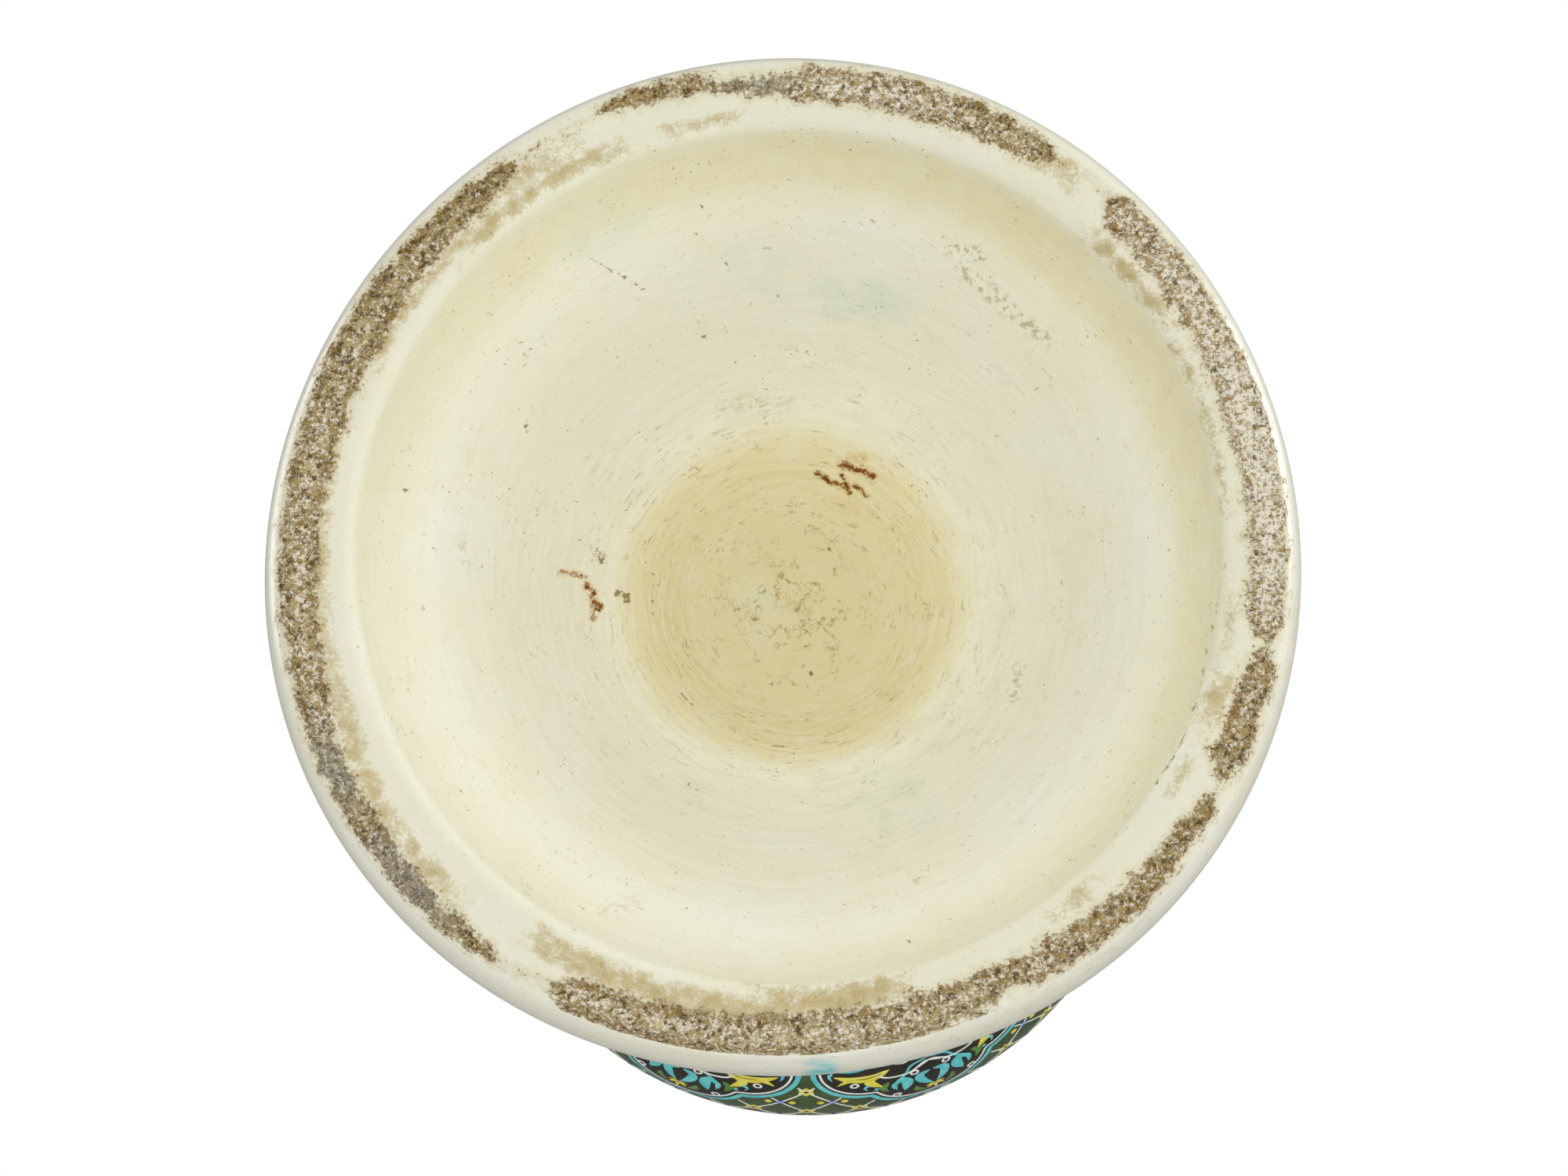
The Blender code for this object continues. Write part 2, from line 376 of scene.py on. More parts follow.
# %% Where the ring is bare
BARE_BAND = (
    (0, 82.5, 89.1), (9, 82.6, 89.1), (12, 86.4, 87.4), (15, 83.9, 89.3), (27, 83.8, 89.4),
    (30, 88.3, 86.7), (33, 85.6, 89.2), (44, 85.2, 89.3), (50, 84.6, 89.5), (60, 84.0, 89.4),
    (63, 83.4, 87.2), (67, 83.3, 89.6), (80, 83.2, 90.4), (90, 83.6, 90.8), (103, 84.6, 91.4),
    (115, 85.2, 91.6), (119, 89.0, 88.0), (123, 89.8, 89.0), (127, 88.8, 91.2), (140, 88.0, 92.2),
    (158, 87.6, 92.2), (163, 86.0, 91.6), (180, 84.5, 91.3), (200, 83.2, 90.6), (220, 83.1, 89.4),
    (232, 84.8, 88.6), (238, 88.0, 86.5), (246, 88.5, 87.0), (249, 86.5, 89.6), (259, 86.2, 89.6),
    (262, 85.0, 87.4), (269, 84.2, 87.3), (272, 83.0, 89.4), (288, 82.9, 89.4), (301, 83.4, 88.8),
    (305, 87.6, 85.8), (311, 87.4, 85.6), (314, 82.6, 88.8), (330, 82.1, 88.7), (345, 82.2, 88.9),
    (360, 82.5, 89.1),
)
BARE_DARKNESS = (
    (0, -0.35), (10, 0.10), (16, 0.70), (45, 0.65), (60, 0.40), (100, 0.40), (127, 0.60), (180, 0.40),
    (220, 0.80), (250, 0.85), (275, 0.10), (303, 0.60), (325, 0.00), (345, -0.40), (360, -0.35),
)
BLUE_GREY_SPANS = ((132, 144), (149, 158), (263, 269))
TAN_PATCHES = (
    (5, 13, 91.2, 92.4, 0.7), (8, 12, 79.4, 80.6, 0.5), (17, 23, 79.0, 82.8, 0.7),
    (26, 31, 91.4, 92.6, 0.6), (29, 32, 80.2, 81.2, 0.7), (49, 54, 80.0, 82.4, 0.6),
    (46, 60, 91.0, 92.6, 0.6), (62, 73, 91.6, 92.6, 0.6), (77, 92, 79.2, 83.2, 1.0),
    (90, 121, 81.0, 84.8, 0.9), (95, 105, 93.6, 94.6, 0.6), (134, 156, 84.4, 87.6, 0.7),
    (155, 195, 83.0, 86.0, 0.7), (205, 226, 81.4, 82.8, 0.9), (224, 246, 79.6, 81.6, 0.9),
    (230, 242, 82.0, 86.0, 0.6), (255, 262, 79.6, 81.0, 0.7), (298, 307, 83.0, 87.5, 0.6),
    (315, 327, 78.6, 80.4, 0.9), (330, 354, 78.4, 79.2, 0.7),
)
BARE_DEPTH = 0.25 * MM
GRIT_HEIGHT = 0.30 * MM
BREAK_UP = 1.3
BREAK_UP_SIZE = 2.2 * MM
GRIT_SIZE = 0.9 * MM
FACE_LEVEL = 3.5 * MM
TAN_LEVEL = 2.5 * MM
UNWORN = -6.0
GREY_FADE = 4
TAN_EDGE = (-1.9, 1.3)
TAN_STRETCH = 4
TAN_ABOVE = 0.3
FILM_RADII = (77.5, 80.5)
FILM_LEVELS = (3.0 * MM, 0.5 * MM)
SUNK_EDGE = (-0.3, 0.5)


def coherent_noise(points, size, seed):
    """Smooth noise from -1 to 1 with features of about one size."""
    shifted = points / size + seed
    return np.array([noise.noise(Vector(p)) for p in shifted])


def wear(piece):
    """Keeps the wear as attributes, and sinks the bare clay below the glaze."""
    points = vertex_points(piece)
    radius = np.hypot(points[:, 0], points[:, 1]) / MM
    degrees = np.degrees(photo_angle(points)) % 360
    band = np.array(BARE_BAND)
    inner = np.interp(degrees, band[:, 0], band[:, 1])
    outer = np.interp(degrees, band[:, 0], band[:, 2])
    depth_in_band = np.minimum(radius - inner, outer - radius)
    depth_in_band[points[:, 2] > FACE_LEVEL] = UNWORN
    keep_values(piece, "bare_mm", depth_in_band)
    keep_values(piece, "bare_dark", np.interp(degrees, *np.array(BARE_DARKNESS).T))
    grey = np.zeros(len(points))
    for start, end in BLUE_GREY_SPANS:
        into = fade(degrees, start - GREY_FADE, start + GREY_FADE)
        out_of = fade(degrees, end + GREY_FADE, end - GREY_FADE)
        grey = np.maximum(grey, into * out_of)
    keep_values(piece, "bare_grey", grey)
    tan = np.zeros(len(points))
    for start, end, low, high, strength in TAN_PATCHES:
        across = np.minimum(radius - low, high - radius)
        along = np.minimum(degrees - start, end - degrees) * math.radians(1) * radius
        tan = np.maximum(tan, strength * fade(np.minimum(across, along / TAN_STRETCH), *TAN_EDGE))
    tan[points[:, 2] > TAN_LEVEL] *= TAN_ABOVE
    keep_values(piece, "tan", tan)
    keep_values(piece, "film", fade(radius, *FILM_RADII) * fade(points[:, 2], *FILM_LEVELS))
    ragged = depth_in_band + BREAK_UP * coherent_noise(points, BREAK_UP_SIZE, 3.1)
    grit = np.abs(coherent_noise(points, GRIT_SIZE, 7.7))
    lifted = points.copy()
    lifted[:, 2] += fade(ragged, *SUNK_EDGE) * (BARE_DEPTH + GRIT_HEIGHT * grit)
    piece.data.vertices.foreach_set("co", lifted.ravel())
    resting = points[:, 2] < 1e-6
    print(f"bare clay covers {100 * np.mean(depth_in_band[resting] > 0):.0f}% of the resting face")


wear(foot_ring)

# %% [markdown]
# ## Marks in the hollow
# Rust, soil and scuffs lie where the photograph shows them. They could be placed by radius and angle, but
# they are far easier to find in the picture, so their paths are written in its own pixels. Each vertex of
# the hollow is projected through the camera, and takes a mark's strength from its distance to the path.

# %% Marks placed through the camera
RUST_MARKS = (
    (6.5, 1.0, (1041, 603), (1051, 608), (1061, 616), (1075, 621), (1084, 627)),
    (8.0, 1.0, (1072, 592), (1081, 593), (1090, 599), (1100, 598), (1108, 604), (1114, 607)),
    (6.0, 1.0, (1073, 604), (1077, 614), (1084, 622)),
    (5.5, 0.9, (1089, 619), (1098, 625), (1107, 633)),
    (13.0, 0.40, (1086, 584), (1102, 584)),
    (18.0, 0.20, (1060, 640), (1110, 655)),
    (7.0, 0.8, (716, 730), (726, 731), (738, 733), (746, 738)),
    (9.0, 0.9, (748, 746), (752, 752), (756, 757), (758, 768), (760, 776), (757, 787)),
    (8.0, 0.9, (766, 772), (760, 782)),
)
SOIL_MARKS = (
    (5.5, 0.8, (761, 700), (765, 709), (769, 717)),
    (7.0, 0.9, (789, 757), (798, 760), (800, 766)),
    (2.4, 0.6, (745, 325), (785, 348), (825, 371)),
    (3.0, 0.6, (919, 327), (926, 338)),
    (3.5, 0.8, (889, 430), (903, 427)),
    (3.0, 1.0, (893, 261), (894, 262)),
    (3.5, 1.0, (669, 545), (672, 549)),
    (3.0, 1.0, (517, 625), (518, 626)),
    (3.5, 0.8, (938, 461), (943, 463)),
    (2.5, 0.9, (1159, 1200), (1161, 1202)),
    (2.5, 0.8, (727, 985), (730, 986)),
    (3.0, 0.7, (982, 874), (992, 872), (1003, 868)),
    (2.6, 0.6, (1008, 745), (1018, 749)),
    (2.6, 0.5, (955, 764), (964, 770)),
    (2.6, 0.5, (1004, 816), (1012, 824)),
    (2.0, 0.45, (833, 731), (831, 760), (834, 788)),
    (2.0, 0.40, (905, 655), (950, 642), (1000, 640)),
    (2.0, 0.40, (870, 885), (905, 920), (950, 942), (1010, 955)),
    (2.6, 0.5, (1145, 768), (1158, 776)),
    (3.2, 1.0, (974, 850), (976, 851)),
    (3.6, 1.0, (1033, 858), (1035, 859)),
    (2.6, 0.8, (1084, 638), (1085, 640)),
    (2.6, 0.9, (1139, 676), (1140, 677)),
    (5.0, 0.5, (1003, 741), (1012, 743), (1020, 747)),
    (3.0, 0.7, (1056, 700), (1066, 701)),
    (3.0, 0.6, (960, 786), (966, 792)),
    (3.0, 0.6, (1024, 797), (1032, 791)),
    (9.0, 0.45, (788, 754), (800, 764)),
    (10.0, 0.45, (756, 700), (772, 716)),
    (8.0, 0.30, (800, 668), (816, 684)),
    (3.2, 0.42, (1563, 717), (1552, 770), (1541, 820), (1526, 894), (1508, 946), (1475, 1000)),
)
SCUFF_MARKS = (
    (16, 0.75, (1215, 318), (1250, 326)),
    (16, 0.60, (1225, 345), (1262, 372)),
    (18, 0.60, (1262, 372), (1295, 402), (1330, 432)),
    (14, 0.50, (1298, 852), (1292, 888)),
    (22, 0.35, (1530, 905), (1545, 925)),
    (16, 0.30, (1500, 985), (1510, 990)),
    (18, 0.25, (770, 1160), (810, 1150)),
    (14, 0.22, (665, 1130), (675, 1140)),
    (16, 0.25, (590, 690), (596, 720)),
    (20, 0.25, (930, 518), (1000, 512)),
    (14, 0.30, (980, 715), (992, 728)),
    (12, 0.30, (950, 770), (960, 790)),
    (14, 0.30, (1010, 770), (1040, 790)),
    (12, 0.28, (1020, 850), (1035, 862)),
    (9, 0.55, (1166, 1122), (1180, 1123)),
    (8, 0.40, (1104, 997), (1112, 999)),
    (8, 0.35, (1136, 935), (1142, 937)),
)
TINT_MARKS = (
    (46, 0.55, (1060, 378), (1140, 384)),
    (60, 0.40, (1130, 1010), (1160, 1040)),
    (40, 0.40, (955, 745), (975, 800)),
    (60, 0.35, (740, 300), (800, 290)),
    (50, 0.35, (930, 335), (1000, 350)),
)
BLUSH_MARKS = ((22, 0.9, (1040, 1366), (1054, 1364)),)
MARKS = {
    "rust": RUST_MARKS,
    "soil": SOIL_MARKS,
    "scuff": SCUFF_MARKS,
    "tint": TINT_MARKS,
    "blush": BLUSH_MARKS,
}
print(", ".join(f"{len(marks)} {name}" for name, marks in MARKS.items()), "marks")

# %% Marks and pooled glaze on the vertices
# Painted highlight: a paler band of glaze round the hollow, where the wall rounds over into the shelf
RIDGE_HIGHLIGHT_RADIUS = 69.0 * MM
RIDGE_HIGHLIGHT_HALF = 4.0 * MM
RIDGE_HIGHLIGHT_STRENGTH = 0.4
WITHIN = 3 * MM
# The wall is darker and yellower towards one side of the hollow, at the angle below, and paler across from it
WALL_POOL, WALL_SIDE_SWING = 0.45, 0.35
WALL_DEEPEST_SIDE = math.radians(300)
RECESS_POOLS = ((0.7, 36 * MM, 29 * MM), (0.3, 50 * MM, 31 * MM), (0.7, 26 * MM, 12 * MM))
WALL_FADES = ((65 * MM, 73 * MM), (79 * MM, 76 * MM))
TURNED_FADE = (52 * MM, 30 * MM)
PITS_FADE = (17 * MM, 9 * MM)


def picture_place(points):
    """Where each point appears in the 2000 x 1500 picture."""
    view = np.array(camera.matrix_world.inverted())
    seen = points @ view[:3, :3].T + view[:3, 3]
    scale = CAMERA_LENS / SENSOR_WIDTH * PHOTO_SIZE[0]
    across = PHOTO_SIZE[0] / 2 - scale * seen[:, 0] / seen[:, 2]
    down = PHOTO_SIZE[1] / 2 + scale * seen[:, 1] / seen[:, 2]
    return np.stack((across, down), axis=1)


def mark_strength(places, marks):
    """The strongest mark at each place: full on the path, and faded out one width from it."""
    strength = np.zeros(len(places))
    for width, peak, *path in marks:
        path = np.array(path, float)
        nearest = np.full(len(places), np.inf)
        for start, end in zip(path[:-1], path[1:]):
            run = end - start
            share = np.clip((places - start) @ run / (run @ run), 0, 1)
            nearest = np.minimum(nearest, np.hypot(*(places - start - share[:, None] * run).T))
        strength = np.maximum(strength, peak * fade(nearest, width, 0.2 * width))
    return strength


def hollow_marks(piece, underside):
    """Keeps the marks, the pooled glaze and a painted highlight on the vertices of the hollow."""
    points = vertex_points(piece)
    radius = np.hypot(points[:, 0], points[:, 1])
    places = picture_place(points)
    below = underside(radius, points[:, 2])
    for name, marks in MARKS.items():
        keep_values(piece, name, mark_strength(places, marks) * below)
    recess = sum(share * fade(radius, start, full) for share, start, full in RECESS_POOLS)
    wall = WALL_POOL + WALL_SIDE_SWING * np.cos(photo_angle(points) - WALL_DEEPEST_SIDE)
    for start, full in WALL_FADES:
        wall *= fade(radius, start, full)
    # The painted highlight band: full at its radius, and gone half a width away
    ridge_highlight = RIDGE_HIGHLIGHT_STRENGTH * fade(np.abs(radius - RIDGE_HIGHLIGHT_RADIUS), RIDGE_HIGHLIGHT_HALF, 0)
    keep_values(piece, "pool", np.maximum(recess, wall) * below)
    keep_values(piece, "turned", fade(radius, *TURNED_FADE) * below)
    keep_values(piece, "pits", fade(radius, *PITS_FADE) * below)
    keep_values(piece, "ridge_highlight", ridge_highlight * below)


def under_foot(radius, level):
    """Whether a place on the foot looks down at the table."""
    sweep_level = np.interp(radius, foot_sweep[::-1, 0], foot_sweep[::-1, 1])
    return (level < sweep_level - WITHIN) | (radius < STEM_RADIUS - WITHIN)


hollow_marks(foot_ring, lambda radius, level: level < RING_LEVEL)
hollow_marks(foot, under_foot)
hollow_marks(lower_body, lambda radius, level: (radius < STEM_BORE + MM) & (level < DOME_LEVEL + MM))
print("marks kept on foot ring, foot and dome")

# %% [markdown]
# ## Glazes and bare clay
# A tin-white glaze looks warm where it lies thick and cooler where it is thin. Fine arcs run round the
# hollow from the turning tool, and dark specks of iron show through. A paler band where the wall of the
# hollow meets the shelf is a painted highlight. The painted glaze is almost black, with green between the
# medallions and a darker green on the foot and the neck.
#
# Nodes for all this could be added one by one, but a long chain is hard to read. So each material is a
# recipe. Its fields are numbers that vary over the surface: noises with features of a real size, values
# kept on the vertices, and sums of these. Its layers are colours, laid one over another. A layer has a
# weight and some masks. A mask is a field, or a field with the values at which the mask is 0 and 1.

# %% Fields and layers
def new_material(name):
    """A material with its shader and output, and the coordinates that its patterns follow."""
    material = bpy.data.materials.new(name)
    material.use_nodes = True
    tree = material.node_tree
    return material, tree, {"place": add_node(tree, "ShaderNodeTexCoord")["Object"]}


def masked(tree, fields, weight, masks):
    """A weight times each of its masks."""
    for mask in masks:
        if isinstance(mask, str):
            value = fields[mask]
        else:
            name, low, high = mask
            value = add_node(tree, "ShaderNodeMapRange", (fields[name], low, high))[0]
        weight = add_node(tree, "ShaderNodeMath", (value, weight), operation="MULTIPLY")[0]
    return weight


def add_fields(tree, fields, noises, kept=(), sums=()):
    """Adds noises, values kept on the vertices, and sums of a start and of weighted, masked fields."""
    for name, vector, size, detail, roughness in noises:
        inputs = {"Vector": fields[vector], "Scale": 1 / size, "Detail": detail, "Roughness": roughness}
        fields[name] = add_node(tree, "ShaderNodeTexNoise", inputs)["Fac"]
    for name in kept:
        fields[name] = add_node(tree, "ShaderNodeAttribute", attribute_name=name)["Fac"]
    for name, total, *terms in sums:
        for weight, *masks in terms:
            share = masked(tree, fields, weight, masks)
            total = add_node(tree, "ShaderNodeMath", (share, total), operation="ADD")[0]
        fields[name] = total


def layered(tree, fields, colour, layers):
    """Lays each colour over what is under it, as far as its weight and masks say."""
    for over, weight, *masks in layers:
        share = masked(tree, fields, weight, masks)
        colour = add_node(tree, "ShaderNodeMix", {0: share, 6: colour, 7: over}, data_type="RGBA")[2]
    return colour


# %% Recipe of the cream glaze
GLAZE_THIN = linear("#ebeadb")
GLAZE_SHELF = linear("#e8e5cf")
GLAZE_CLOUD = linear("#ddd7bd")
PAINTED_RIDGE_HIGHLIGHT = linear("#eeecdc")
GLAZE_POOLED = linear("#e2d8ab")
GLAZE_DEEP = linear("#d3c699")
TURNING_LINE = linear("#8a6c06")
RUST_PALE = linear("#c4942a")
RUST_DARK = linear("#764200")
SOIL_BROWN = linear("#766006")
SCUFF_TAN = linear("#a08c42")
COPPER_TINT = linear("#cfdcc9")
COPPER_BLUSH = linear("#6fcfd0")
IRON_SPECK = linear("#6a4f04")
CREAM_NOISES = (
    ("cloud", "place", 26.0 * MM, 4, 0.55),
    ("patches", "place", 6.0 * MM, 3, 0.55),
    ("mottle", "place", 5.0 * MM, 4, 0.55),
    ("bubbles", "place", 3.0 * MM, 2, 0.55),
    ("ragged", "place", 1.3 * MM, 4, 0.65),
    ("ripple", "place", 1.1 * MM, 4, 0.65),
    ("dots", "place", 1.0 * MM, 3, 0.70),
    ("furrows", "turning", 2.8 * MM, 1, 0.55),
    ("rings", "turning", 2.6 * MM, 3, 0.60),
    ("arcs", "turning", 0.9 * MM, 4, 0.70),
)
CREAM_KEPT = ("pool", "turned", "ridge_highlight", "pits", *MARKS)
CREAM_SUMS = (
    ("ring_depth", 0.15, (0.60, "turned")),
    ("line_depth", 0.08, (0.40, "turned")),
    ("groove_depth", 0.60, (0.90, "turned")),
    ("grooves", 0.0, (1.0, "furrows"), (0.10, "arcs")),
    ("relief", 0.0, (1.0, "grooves", "groove_depth"), (0.32, "ripple")),
    ("clustered", 0.0, (1.0, "dots"), (0.25, "patches")),
    ("soil_edge", -1.5, (1.0, "soil"), (3.0, "ragged")),
    ("rust_edge", -1.6, (1.0, "rust"), (3.2, "ragged")),
)
CREAM_LAYERS = (
    (GLAZE_THIN, 1.0, ("cloud", 0.35, 0.68)),
    (GLAZE_CLOUD, 0.35, ("mottle", 0.55, 0.80)),
    (GLAZE_CLOUD, 1.0, ("rings", 0.46, 0.68), "ring_depth"),
    (GLAZE_POOLED, 1.0, ("pool", 0.0, 1.0), ("mottle", -0.10, 0.55)),
    (GLAZE_DEEP, 1.0, ("pool", 1.0, 2.0)),
    # Painted highlight: a paler band where the wall meets the shelf
    (PAINTED_RIDGE_HIGHLIGHT, 1.0, "ridge_highlight", ("patches", 0.25, 0.65)),
    (COPPER_TINT, 1.0, "tint", ("patches", 0.30, 0.65)),
    (COPPER_BLUSH, 1.0, "blush", ("mottle", 0.30, 0.60)),
    (TURNING_LINE, 1.0, ("arcs", 0.56, 0.66), ("patches", 0.42, 0.60), "line_depth"),
    (TURNING_LINE, 0.7, "pits", ("bubbles", 0.58, 0.63), ("bubbles", 0.68, 0.63), ("ragged", 0.40, 0.60)),
    (TURNING_LINE, 0.45, ("clustered", 0.785, 0.82)),
    (IRON_SPECK, 0.75, ("clustered", 0.86, 0.885)),
    (SCUFF_TAN, 1.0, "scuff", ("ragged", 0.48, 0.60)),
    (SOIL_BROWN, 0.8, ("soil_edge", 0.40, 0.75), ("soil", 0.02, 0.25)),
    (RUST_PALE, 0.75, ("rust", 0.05, 0.70), ("ragged", 0.35, 0.60)),
    (RUST_DARK, 1.0, ("rust_edge", 0.60, 1.05), ("rust", 0.28, 0.55)),
)
print("cream glaze:", len(CREAM_NOISES), "noises and", len(CREAM_LAYERS), "layers")

# %% Cream glaze
TURNING_HUB = 4 * MM
TURNING_SPREAD = 9 * MM
BUMP_HEIGHT = 0.4 * MM


def turning_vector(tree, place):
    """Coordinates that hardly change round the axis, so that noise is drawn out into turning lines."""
    flat = add_node(tree, "ShaderNodeVectorMath", (place, (1, 1, 0)), operation="MULTIPLY")[0]
    radius = add_node(tree, "ShaderNodeVectorMath", (flat,), operation="LENGTH")["Value"]
    reach = add_node(tree, "ShaderNodeMath", (radius, TURNING_HUB), operation="ADD")[0]
    spread = add_node(tree, "ShaderNodeMath", (TURNING_SPREAD, reach), operation="DIVIDE")[0]
    heading = add_node(tree, "ShaderNodeVectorMath", {0: flat, "Scale": spread}, operation="SCALE")[0]
    level = add_node(tree, "ShaderNodeSeparateXYZ", (place,))["Z"]
    outwards = add_node(tree, "ShaderNodeMath", (radius, level), operation="SUBTRACT")[0]
    up = add_node(tree, "ShaderNodeCombineXYZ", {"Z": outwards})[0]
    return add_node(tree, "ShaderNodeVectorMath", (heading, up), operation="ADD")[0]


def cream_colour(tree, fields):
    """Colour of the cream glaze with its stains. Its fields are added to those given."""
    fields["turning"] = turning_vector(tree, fields["place"])
    add_fields(tree, fields, CREAM_NOISES, CREAM_KEPT, CREAM_SUMS)
    return layered(tree, fields, GLAZE_SHELF, CREAM_LAYERS)


def cream_glaze():
    """Glossy ivory glaze: gives the eye a warm white with turning lines, specks and old stains."""
    material, tree, fields = new_material("cream_tin_glaze")
    colour = cream_colour(tree, fields)
    relief = {"Height": fields["relief"], "Distance": BUMP_HEIGHT, "Strength": 0.7}
    bump = add_node(tree, "ShaderNodeBump", relief)[0]
    looks = {"Base Color": colour, "Normal": bump, "Roughness": 0.07, "Specular IOR Level": 0.25}
    fill(tree, tree.nodes["Principled BSDF"], looks)
    return material


# %% Recipe of the worn clay
CLAY_LIGHT = linear("#c9b987")
CLAY_DEEP = linear("#8f763f")
CLAY_FROST = linear("#efe9d9")
CLAY_PIT = linear("#4b3817")
CLAY_BORDER = linear("#8c6a2f")
CLAY_HALO = linear("#c4b487")
BLUE_GREY = linear("#8b9092")
TAN_SOAK = linear("#a18a50")
TAN_PALE = linear("#c3b380")
RIM_FILM = linear("#d2cfb6")
RIM_SPECK = linear("#6a5730")
WORN_NOISES = (
    ("broad", "place", 3.4 * MM, 5, 0.60),
    ("hollows", "place", 1.2 * MM, 6, 0.72),
    ("crumbs", "place", 0.75 * MM, 7, 0.76),
    ("fine", "place", 0.7 * MM, 4, 0.65),
    ("dust", "place", 0.3 * MM, 3, 0.70),
)
WORN_KEPT = ("film", "tan", "bare_mm", "bare_dark", "bare_grey")
BARE = ("edge", -0.35, 0.65)
NEAR_BARE = ("swing", -4.0, 0.0)
BARE_BORDER = ("swing", 2.4, 0.0)
PITTED = ("pitting", 0.56, 0.63)
WORN_SUMS = (
    ("soak", -2.4, (1.0, "tan"), (2.4, "broad"), (2.4, "fine")),
    ("swing", -3.0, (1.0, "bare_mm"), (6.0, "broad")),
    ("edge", -2.25, (1.0, "swing"), (4.5, "fine")),
    ("speck", -0.5, (1.0, "fine"), (0.13, NEAR_BARE)),
    ("frosting", 0.0, (1.0, "crumbs"), (-0.075, "bare_dark"), (-0.05, BARE_BORDER)),
    ("pitting", 0.0, (1.0, "hollows"), (0.04, "bare_dark")),
    ("worn_roughness", 0.22, (0.70, BARE)),
    ("worn_relief", 0.0, (1.0, BARE, "crumbs"), (-0.5, BARE, PITTED), (0.5, "relief")),
)
TAN_LAYERS = ((TAN_PALE, 1.0, ("fine", 0.38, 0.62)),)
CLAY_LAYERS = (
    (CLAY_DEEP, 1.0, ("broad", 0.35, 0.65)),
    (CLAY_BORDER, 0.7, BARE_BORDER),
    (CLAY_PIT, 0.6, ("dust", 0.46, 0.70)),
    (CLAY_FROST, 0.9, ("frosting", 0.45, 0.54)),
    (CLAY_PIT, 0.8, PITTED),
    (BLUE_GREY, 0.35, "bare_grey"),
)
print("bare clay:", len(WORN_NOISES), "noises and", len(CLAY_LAYERS), "layers")


# %% Worn clay of the foot ring
def worn_ring():
    """Cream glaze ground through to gritty clay: gives the eye a frosted, pitted, broken brown band."""
    material, tree, fields = new_material("worn_glaze_and_grit")
    glaze = cream_colour(tree, fields)
    add_fields(tree, fields, WORN_NOISES, WORN_KEPT, WORN_SUMS)
    tan = layered(tree, fields, TAN_SOAK, TAN_LAYERS)
    clay = layered(tree, fields, CLAY_LIGHT, CLAY_LAYERS)
    wear_layers = (
        (RIM_FILM, 0.55, "film"),
        (tan, 0.9, ("soak", 0.15, 0.95), ("tan", 0.0, 0.3)),
        (CLAY_HALO, 0.85, ("swing", -2.0, 0.3), ("fine", 0.30, 0.55)),
        (RIM_SPECK, 0.85, ("speck", 0.21, 0.25), NEAR_BARE),
        (clay, 1.0, BARE),
    )
    colour = layered(tree, fields, glaze, wear_layers)
    relief = {"Height": fields["worn_relief"], "Distance": BUMP_HEIGHT, "Strength": 0.8}
    bump = add_node(tree, "ShaderNodeBump", relief)[0]
    rough = fields["worn_roughness"]
    looks = {"Base Color": colour, "Normal": bump, "Roughness": rough, "Specular IOR Level": 0.22}
    fill(tree, tree.nodes["Principled BSDF"], looks)
    return material


# %% Painted grounds and enamels
GROUND_BLACK = linear("#1b1810")
GROUND_BROWN = linear("#2b2313")
FIELD_GREEN = linear("#4c5f33")
FIELD_DEEP = linear("#33451f")


def painted_ground():
    """Glossy black-brown ground with green between the medallions: gives the eye a deep, wet-looking dark."""
    material, tree, fields = new_material("black_and_green_glaze")
    # The foot and the neck keep no field. It reads 0 there, so black and green mix by halves.
    add_fields(tree, fields, (("cloud", "place", 9 * MM, 4, 0.55),), ("field_mm",))
    green = layered(tree, fields, FIELD_GREEN, ((FIELD_DEEP, 1.0, ("cloud", 0.30, 0.65)),))
    layers = ((GROUND_BROWN, 1.0, ("cloud", 0.40, 0.75)), (green, 1.0, ("field_mm", -0.2, 0.2)))
    colour = layered(tree, fields, GROUND_BLACK, layers)
    looks = {"Base Color": colour, "Roughness": 0.16, "Coat Weight": 0.3}
    fill(tree, tree.nodes["Principled BSDF"], looks)
    return material


def enamel(name, thick, thin):
    """A raised stroke of glassy enamel: gives the eye a clear colour, paler where the brush ran thin."""
    material, tree, fields = new_material(name)
    add_fields(tree, fields, (("flow", "place", 2.5 * MM, 3, 0.55),))
    colour = layered(tree, fields, linear(thick), ((linear(thin), 1.0, ("flow", 0.40, 0.70)),))
    fill(tree, tree.nodes["Principled BSDF"], {"Base Color": colour, "Roughness": 0.18})
    return material


CREAM = cream_glaze()
WORN = worn_ring()
GROUND = painted_ground()
ENAMELS = {
    "turquoise": enamel("turquoise_enamel", "#4fb9bd", "#77d0cd"),
    "yellow": enamel("yellow_enamel", "#d8c92f", "#e3da62"),
    "green": enamel("green_enamel", "#4d7a36", "#6b9447"),
    "cobalt": enamel("cobalt_enamel", "#2c3f8e", "#4a5fae"),
    "white": enamel("white_enamel", "#e9ebe4", "#cfd8d2"),
    "dark": enamel("manganese_enamel", "#1d1712", "#2c231b"),
}
print("materials:", ", ".join(m.name for m in bpy.data.materials))

# %% [markdown]
# ## Layout of the painting
# The decoration is a band of eight lobed medallions round the swelling body, eight smaller ones between
# them on the shoulder, and a green trellis about both. One picture could be wrapped round the body, but
# raised enamel catches the light, so every stroke is drawn as geometry. One design tile holds one
# medallion. Tile coordinates are millimetres: x runs round the vase at a reference radius, y runs up the
# outline. The edge of a medallion is a function, negative inside, so that its contour lines and the green
# field all come from one shape.

